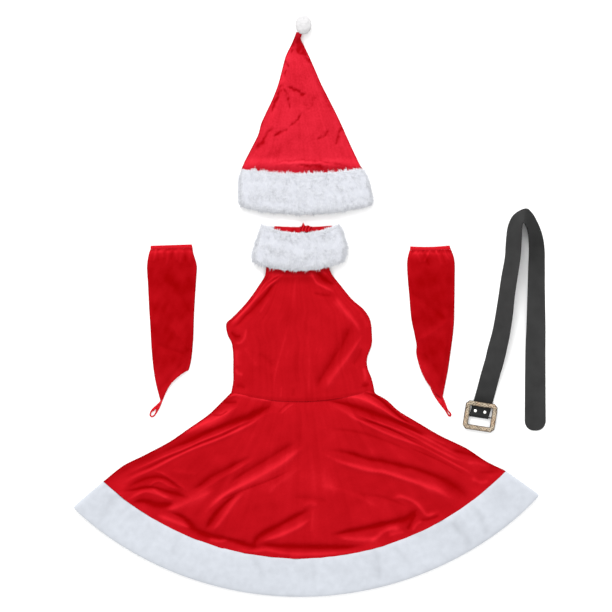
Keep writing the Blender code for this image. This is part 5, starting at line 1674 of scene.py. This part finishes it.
class COSTUME_OT_sleeves(bpy.types.Operator):
    """Makes the two arm sleeves, each with its gathered elastic hem and finger loop"""

    bl_idname = "costume.make_sleeves"
    bl_label = "Make arm sleeves"

    def execute(self, context):
        self.sleeve(
            "sleeve_left", SLEEVE_LEFT_AT, HEM_LEFT, SLEEVE_LEFT, SLEEVE_LEFT_CREASES, LOOP_LEFT,
            area=0.0512, seed=111,
        )
        self.sleeve(
            "sleeve_right", SLEEVE_RIGHT_AT, HEM_RIGHT, SLEEVE_RIGHT, SLEEVE_RIGHT_CREASES, LOOP_RIGHT,
            area=0.048, seed=121,
        )
        return {"FINISHED"}

    def sleeve(self, name, place, hem, courses, creases, bends, area, seed):
        finish = dress_velvet()
        (outer, inner), x, y, tone, from_edge, along = flat_tube(
            courses, wall=CLOTH, space=TUBE_SPACE, creases=creases, columns=70, below=18, rows=140,
            puff=2.6, first=1.7, seed=seed,
        )
        outer = at_place(outer, place)
        inner = at_place(inner, place)
        # painted light on the sleeve: painted highlight along its edges and towards its gathered top, painted
        # shade and highlight in streaks under the gathers, a thin painted shadow at its sides, lighter
        # towards the hand end, and random variation
        tone = tone + 0.06 * (1 - smoothstep(3, 9, from_edge)) + 0.32 * (1 - smoothstep(0.04, 0.22, along))
        tone += 0.05 * ripples(x, y, 46, seed + 3) + 0.03 * ripples(x, 0.6 * y, 17, seed + 4)
        tone -= 0.3 * (1 - smoothstep(0.5, 2.0, from_edge))
        tone += 0.3 * smoothstep(0.8, 1.0, along)
        fanned = (x - 0.5) / (1 + 1.6 * along)
        tone += 0.15 * ripples(fanned, 26 * along, 3.4, seed + 2) * (1 - smoothstep(0.03, 0.14, along))
        light_and_nap = light_and_nap_of(outer, x, y, tone, middle=0.16)
        points, faces = tube(outer, inner)
        piece = add_piece(with_light_and_nap(name, points, faces, light_and_nap), finish, [name])

        (outer, inner), x, y, tone, from_edge, along = flat_tube(
            hem, wall=2.0, space=TUBE_SPACE, creases=(), columns=60, below=18, rows=10,
            puff=0.4, first=0, seed=seed + 5,
        )
        # gathers 4.2 mm apart, coarser than real shirring so that they show
        gather = 0.35 * np.sin(x * tau / 4.2 + 0.8 * np.sin(x / 5)) * smoothstep(0.2, 0.9, along)
        groove = -0.3 * np.exp(-((along - 0.82) / 0.08) ** 2)
        outer[..., 2] += np.where(outer[..., 2] > 3, gather + groove, 0.0)
        # painted shade in the gathers' troughs and the groove, painted highlight on their crests
        light_and_nap = np.clip(0.72 + 0.5 * gather + 0.5 * groove, 0, 1)
        points, faces = tube(at_place(outer, place), at_place(inner, place))
        mesh = with_light_and_nap(name + "_hem", points, faces, light_and_nap)
        band_piece = add_piece(mesh, finish, [name + "_hem"])
        self.loop(name + "_loop", place, bends, finish)

    def loop(self, name, place, bends, finish):
        """A narrow stitched band, whose two ends meet the sleeve by its point."""
        steps, sides = 110, 14
        x, y, half = blend(bends, np.linspace(0, 1, steps))
        run = np.stack([np.gradient(x), np.gradient(y)], axis=1)
        run /= np.linalg.norm(run, axis=1, keepdims=True)
        turn = (np.arange(sides) / sides * tau)[:, None]
        centre = np.stack([x, y, np.full(steps, LOOP_THICK / 2 + 0.1)], axis=1)[:, None, :]
        side = np.stack([run[:, 1], -run[:, 0], np.zeros(steps)], axis=1)[:, None, :]
        wide = (half * (1 + 0.04 * np.sin(np.arange(steps) * 1.9)))[:, None, None]
        rise = LOOP_THICK / 2 * np.sin(turn) * np.array([0, 0, 1.0])
        rings = centre + wide * np.cos(turn) * side + rise
        points = at_place(rings.reshape(-1, 3), place)
        faces = capped(steps, sides, turned=True)
        light_and_nap = 0.7 + 0.15 * np.repeat(np.sin(np.arange(steps) * 0.5), sides)
        add_piece(make_mesh(name, points, faces, {"light_and_nap": light_and_nap}), finish, [name])


def beside_bar(along, away):
    """Where on the floor lies what is that far along the buckle's bar and away from it."""
    turn = radians(FRAME_TURN)
    return (
        BUCKLE_AT.x + along * cos(turn) - away * sin(turn),
        BUCKLE_AT.y + along * sin(turn) + away * cos(turn),
    )


def strap_fold():
    """The strap's middle line where it laps the bar, as (distance from the bar, height) pairs."""
    axis = BAR_RADIUS + BAR_PLAY + STRAP
    turn_radius = BAR_RADIUS + BAR_PLAY + STRAP / 2
    upper = 1.5 * STRAP + SEAM
    lower = [(distance, STRAP / 2) for distance in (LAP_END, 30.0, 20.0, 10.0, 4.0)]
    steps = 16
    loop = [
        (-turn_radius * sin(pi * i / steps), axis - turn_radius * cos(pi * i / steps))
        for i in range(steps + 1)
    ]
    back = [(2.2, 5.4), (4.4, 4.2), (6.2, 3.25)]
    level = [(distance, upper) for distance in (7.6, 14.0, 20.0, 26.0, 32.0)]
    return lower + loop + back + level


class COSTUME_OT_belt(bpy.types.Operator):
    """Makes the belt's strap, folded round the buckle's bar, and its two rivets"""

    bl_idname = "costume.make_belt"
    bl_label = "Make belt"

    def execute(self, context):
        finish = leatherette("polyurethane_leather_embossed", context.scene.costume.belt.strap)
        lines, bar_lines = self.strap_lines()
        points, faces = self.strap_section(lines, bar_lines)
        strap_light = np.repeat(self.light_along(len(lines), bar_lines), len(points) // len(lines))
        mesh = make_mesh("belt_strap", points, faces, {"strap_light": strap_light})
        add_piece(mesh, finish, ["belt_strap"])
        cap = plain_metal("steel_nickel_plated", linear("#F4F3EF"), roughness=0.22, scratch=2.0)
        for number, (along, away) in enumerate(RIVETS, start=1):
            self.rivet(f"rivet_{number}", along, away, cap)
        return {"FINISHED"}

    def strap_lines(self):
        """The strap's two edges at each step of its run, as pairs of points."""
        turn = radians(FRAME_TURN)
        along_bar = Vector((cos(turn), sin(turn), 0))
        from_bar = Vector((-sin(turn), cos(turn), 0))
        lines = []
        for distance, height in strap_fold():
            level = Vector((0, 0, height - STRAP / 2)) + from_bar * distance
            lean = STRAP_LEAN * distance
            lines.append((
                along_bar * (STRAP_AT_BAR[0] + lean) + level,
                along_bar * (STRAP_AT_BAR[1] + lean) + level,
            ))
        bar_lines = len(lines)
        steps = 6 * (len(STRAP_RUN) - 1)
        for outer_x, outer_y, inner_x, inner_y, lift in blend(STRAP_RUN, np.linspace(0, 1, steps + 1)).T:
            lines.append((Vector((outer_x, outer_y, 0)), Vector((inner_x, inner_y, max(0.0, lift)))))
        last = STRAP_RUN[-1]
        middle_x = (last.outer_x + last.inner_x) / 2
        half = (last.outer_x - last.inner_x) / 2
        tip_steps = 14
        for index in range(1, tip_steps):
            angle = pi / 2 * index / (tip_steps + 0.2)
            reach = STRAP_TIP * sin(angle)
            share = cos(angle) ** 0.8
            lines.append((
                Vector((middle_x + half * share, last.outer_y - reach, 0)),
                Vector((middle_x - half * share, last.inner_y - reach, 0)),
            ))
        return lines, bar_lines

    def light_along(self, count, bar_lines):
        """The painted light on the strap at each step: painted shade round the bar and just past its crease,
        and painted highlight half-way down again.
        """
        share = np.arange(count - bar_lines) / (count - bar_lines)
        run = np.interp(
            share, [0.0, 0.3, 0.4, 0.46, 0.54, 0.66, 0.74, 0.8, 0.88, 1.0],
            [0.75, 0.8, 0.6, 0.45, 0.05, 0.25, 0.8, 0.95, 0.78, 0.75],
        )
        return np.concatenate([np.full(bar_lines, 0.3), run])

    def strap_section(self, lines, bar_lines):
        """Rings round the strap, with softly pressed edges."""
        edge = 0.55
        shares = [0.0, 0.06, 0.2, 0.4, 0.6, 0.8, 0.94, 1.0]
        rings = []
        for index, (outer, inner) in enumerate(lines):
            before = lines[max(index - 1, 0)]
            after = lines[min(index + 1, len(lines) - 1)]
            run = (after[0] + after[1]) - (before[0] + before[1])
            normal = (inner - outer).cross(run).normalized()
            low = Vector((0, 0, 0))
            if index < bar_lines:
                low = Vector((0, 0, STRAP / 2)) - normal * STRAP / 2
            way = (inner - outer).normalized()
            start = outer + low
            end = inner + low
            wide = (inner - outer).length
            trim = min(edge, 0.2 * wide)
            under = [start + way * (trim + (wide - 2 * trim) * share) for share in shares]
            over = [point + normal * STRAP for point in reversed(under)]
            far = [end + normal * STRAP * share for share in (0.25, 0.75)]
            near = [start + normal * STRAP * share for share in (0.75, 0.25)]
            rings.append([list(point) for point in under + far + over + near])
        rings = np.array(rings) + np.array([BUCKLE_AT.x, BUCKLE_AT.y, 0.0])
        return rings.reshape(-1, 3), capped(*rings.shape[:2])

    def rivet(self, name, along, away, finish):
        """A domed cap with a rolled rim."""
        at = np.array([*beside_bar(along, away), 2 * STRAP + SEAM + 0.35])
        profile = [
            (2.9, 0.0), (3.2, 0.15), (3.25, 0.4), (3.05, 0.6),
            (2.7, 0.66), (2.2, 0.95), (1.4, 1.15), (0.6, 1.24),
        ]
        sides = 32
        turns = np.arange(sides) / sides * tau
        rings = np.array([[(r * cos(t), r * sin(t), z) for t in turns] for r, z in profile]) + at
        faces = capped(len(profile), sides)
        add_piece(make_mesh(name, rings.reshape(-1, 3), faces), finish, [name])


def frame_outline():
    """(outer, inner, drop) round the frame. drop thickens the side bars down to the centre bar."""
    half_w = FRAME_WIDTH / 2
    half_h = FRAME_HEIGHT / 2
    open_w = half_w - FRAME_BAR
    open_h = half_h - FRAME_BAR
    corner = 7.0
    bevel = 0.7
    lug = 2.4
    lug_half = 3.2
    lug_end = 6
    right = [
        ((half_w, -lug_end), (open_w, -lug_end), 0.0),
        ((half_w, -lug_half), (open_w, -lug_half), lug),
        ((half_w, lug_half), (open_w, lug_half), lug),
        ((half_w, lug_end), (open_w, lug_end), 0.0),
        ((half_w, half_h - corner), (open_w, open_h - bevel), 0.0),
        ((half_w - corner, half_h), (open_w - bevel, open_h), 0.0),
    ]
    top = [((0.0, half_h), (0.0, open_h), 0.0)]
    left = [((-o[0], o[1]), (-i[0], i[1]), drop) for o, i, drop in reversed(right)]
    bottom = [
        ((-half_w, -(half_h - corner)), (-open_w, -(open_h - bevel)), 0.0),
        ((-(half_w - corner), -half_h), (-(open_w - bevel), -open_h), 0.0),
        ((0.0, -half_h), (0.0, -open_h), 0.0),
        ((half_w - corner, -half_h), (open_w - bevel, -open_h), 0.0),
        ((half_w, -(half_h - corner)), (open_w, -(open_h - bevel)), 0.0),
    ]
    return right + top + left + bottom


class COSTUME_OT_buckle(bpy.types.Operator):
    """Makes the buckle's cast frame with its scrolled relief, and finishes its bar"""

    bl_idname = "costume.make_buckle"
    bl_label = "Make buckle"

    def execute(self, context):
        chosen = context.scene.costume.belt
        corners = np.array([[*o, *i, drop] for o, i, drop in frame_outline()])
        rows = []
        for start, end in zip(corners, np.roll(corners, -1, axis=0)):
            pieces = max(2, round(np.hypot(*(end[:2] - start[:2])) / FRAME_STEP))
            for step in range(pieces):
                rows.append(start + (end - start) * step / pieces)
        rows = np.array(rows)
        middle = (rows[:, :2] + rows[:, 2:4]) / 2
        along = np.concatenate([[0.0], np.cumsum(np.hypot(*np.diff(middle, axis=0).T))])
        share = np.concatenate([[0.0], np.linspace(0.0, 1.0, 21), [1.0]])
        dome = np.interp(share, [0.0, 0.22, 0.5, 0.78, 1.0], [0.72, 0.94, 1.0, 0.94, 0.70])
        v, s = np.meshgrid(share, along)
        pattern = self.scroll(s, v)
        axis = BAR_RADIUS + BAR_PLAY + STRAP
        under = FRAME_LOW - axis
        x = rows[:, 2:3] + (rows[:, 0:1] - rows[:, 2:3]) * v
        y = rows[:, 3:4] + (rows[:, 1:2] - rows[:, 3:4]) * v
        z = under + dome * FRAME_THICK + (pattern - 0.5) * chosen.relief / MM
        z[:, [0, -1]] = under - rows[:, 4:5]
        world = np.stack([*beside_bar(x, y), axis + z], axis=-1)
        count, around = world.shape[:2]
        index = np.arange(count * around).reshape(count, around)
        following = np.roll(index, -1, axis=0)
        side = np.roll(index, -1, axis=1)
        both = np.roll(following, -1, axis=1)
        faces = np.stack([index, side, both, following], axis=-1).reshape(-1, 4)[:, ::-1]
        pattern[:, [0, -1]] = 0.15
        mesh = make_mesh("buckle_frame", world.reshape(-1, 3), faces, {"relief": pattern.ravel()})
        brass = antique_brass("zinc_brass_plated_antiqued", chosen.brass, chosen.patina)
        add_piece(mesh, brass, ["buckle_frame"], body="buckle")
        steel = plain_metal("steel_wire_blackened", linear("#3A3634"), roughness=0.42, scratch=1.43)
        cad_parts["buckle_bar"].material_slots[0].material = steel
        return {"FINISHED"}

    def scroll(self, s, v):
        """A cast pattern of leafy scrolls between two beaded rims, 0 in its recesses and 1 on top.

        s is the way along the frame in millimetres, and v the share of the way across it.
        """
        scroll_length = 12.0
        leaf_length = 3.4
        bead_length = 2.6
        wave = np.sin(s * tau / scroll_length)
        stem = np.exp(-((v - 0.5 - 0.2 * wave) / 0.1) ** 2)
        veins = 0.5 + 0.5 * np.cos(s * tau / leaf_length + 6 * v)
        leaf = np.exp(-((v - 0.5 + 0.24 * wave) / 0.16) ** 2) * veins
        rims = np.exp(-((v - 0.14) / 0.07) ** 2) + np.exp(-((v - 0.86) / 0.07) ** 2)
        beads = (0.55 + 0.45 * np.cos(s * tau / bead_length)) * rims
        edges = 1 - smoothstep(0.02, 0.16, np.minimum(v, 1 - v))
        return np.clip(0.16 + 0.8 * stem + 0.7 * leaf + 0.6 * beads - 0.7 * edges, 0.0, 1.0)


class COSTUME_PT_panel(bpy.types.Panel):
    """Lists the costume's pieces, in the order that they are made"""

    bl_label = "Santa dress costume"
    bl_idname = "COSTUME_PT_panel"
    bl_space_type = "VIEW_3D"
    bl_region_type = "UI"
    bl_category = "Costume"

    def draw(self, context):
        chosen = context.scene.costume
        for group in (chosen.velvet, chosen.plush, chosen.belt, chosen.stage):
            box = self.layout.box()
            box.label(text=type(group).__name__.removesuffix("Settings"))
            for name in group.__annotations__:
                box.prop(group, name)
        for operator in OPERATORS:
            self.layout.operator(operator.bl_idname)


OPERATORS = (
    COSTUME_OT_stage,
    COSTUME_OT_skirt,
    COSTUME_OT_bodice,
    COSTUME_OT_hem,
    COSTUME_OT_collar,
    COSTUME_OT_hat,
    COSTUME_OT_brim,
    COSTUME_OT_pompom,
    COSTUME_OT_sleeves,
    COSTUME_OT_belt,
    COSTUME_OT_buckle,
)
GROUPS = (VelvetSettings, PlushSettings, BeltSettings, StageSettings, CostumeSettings)


def register():
    for made in (*GROUPS, *OPERATORS, COSTUME_PT_panel):
        bpy.utils.register_class(made)
    bpy.types.Scene.costume = PointerProperty(type=CostumeSettings)


def unregister():
    del bpy.types.Scene.costume
    for made in reversed((*GROUPS, *OPERATORS, COSTUME_PT_panel)):
        bpy.utils.unregister_class(made)


def main():
    register()
    for operator in OPERATORS:
        group, name = operator.bl_idname.split(".")
        getattr(getattr(bpy.ops, group), name)()


if __name__ == "__main__":
    main()
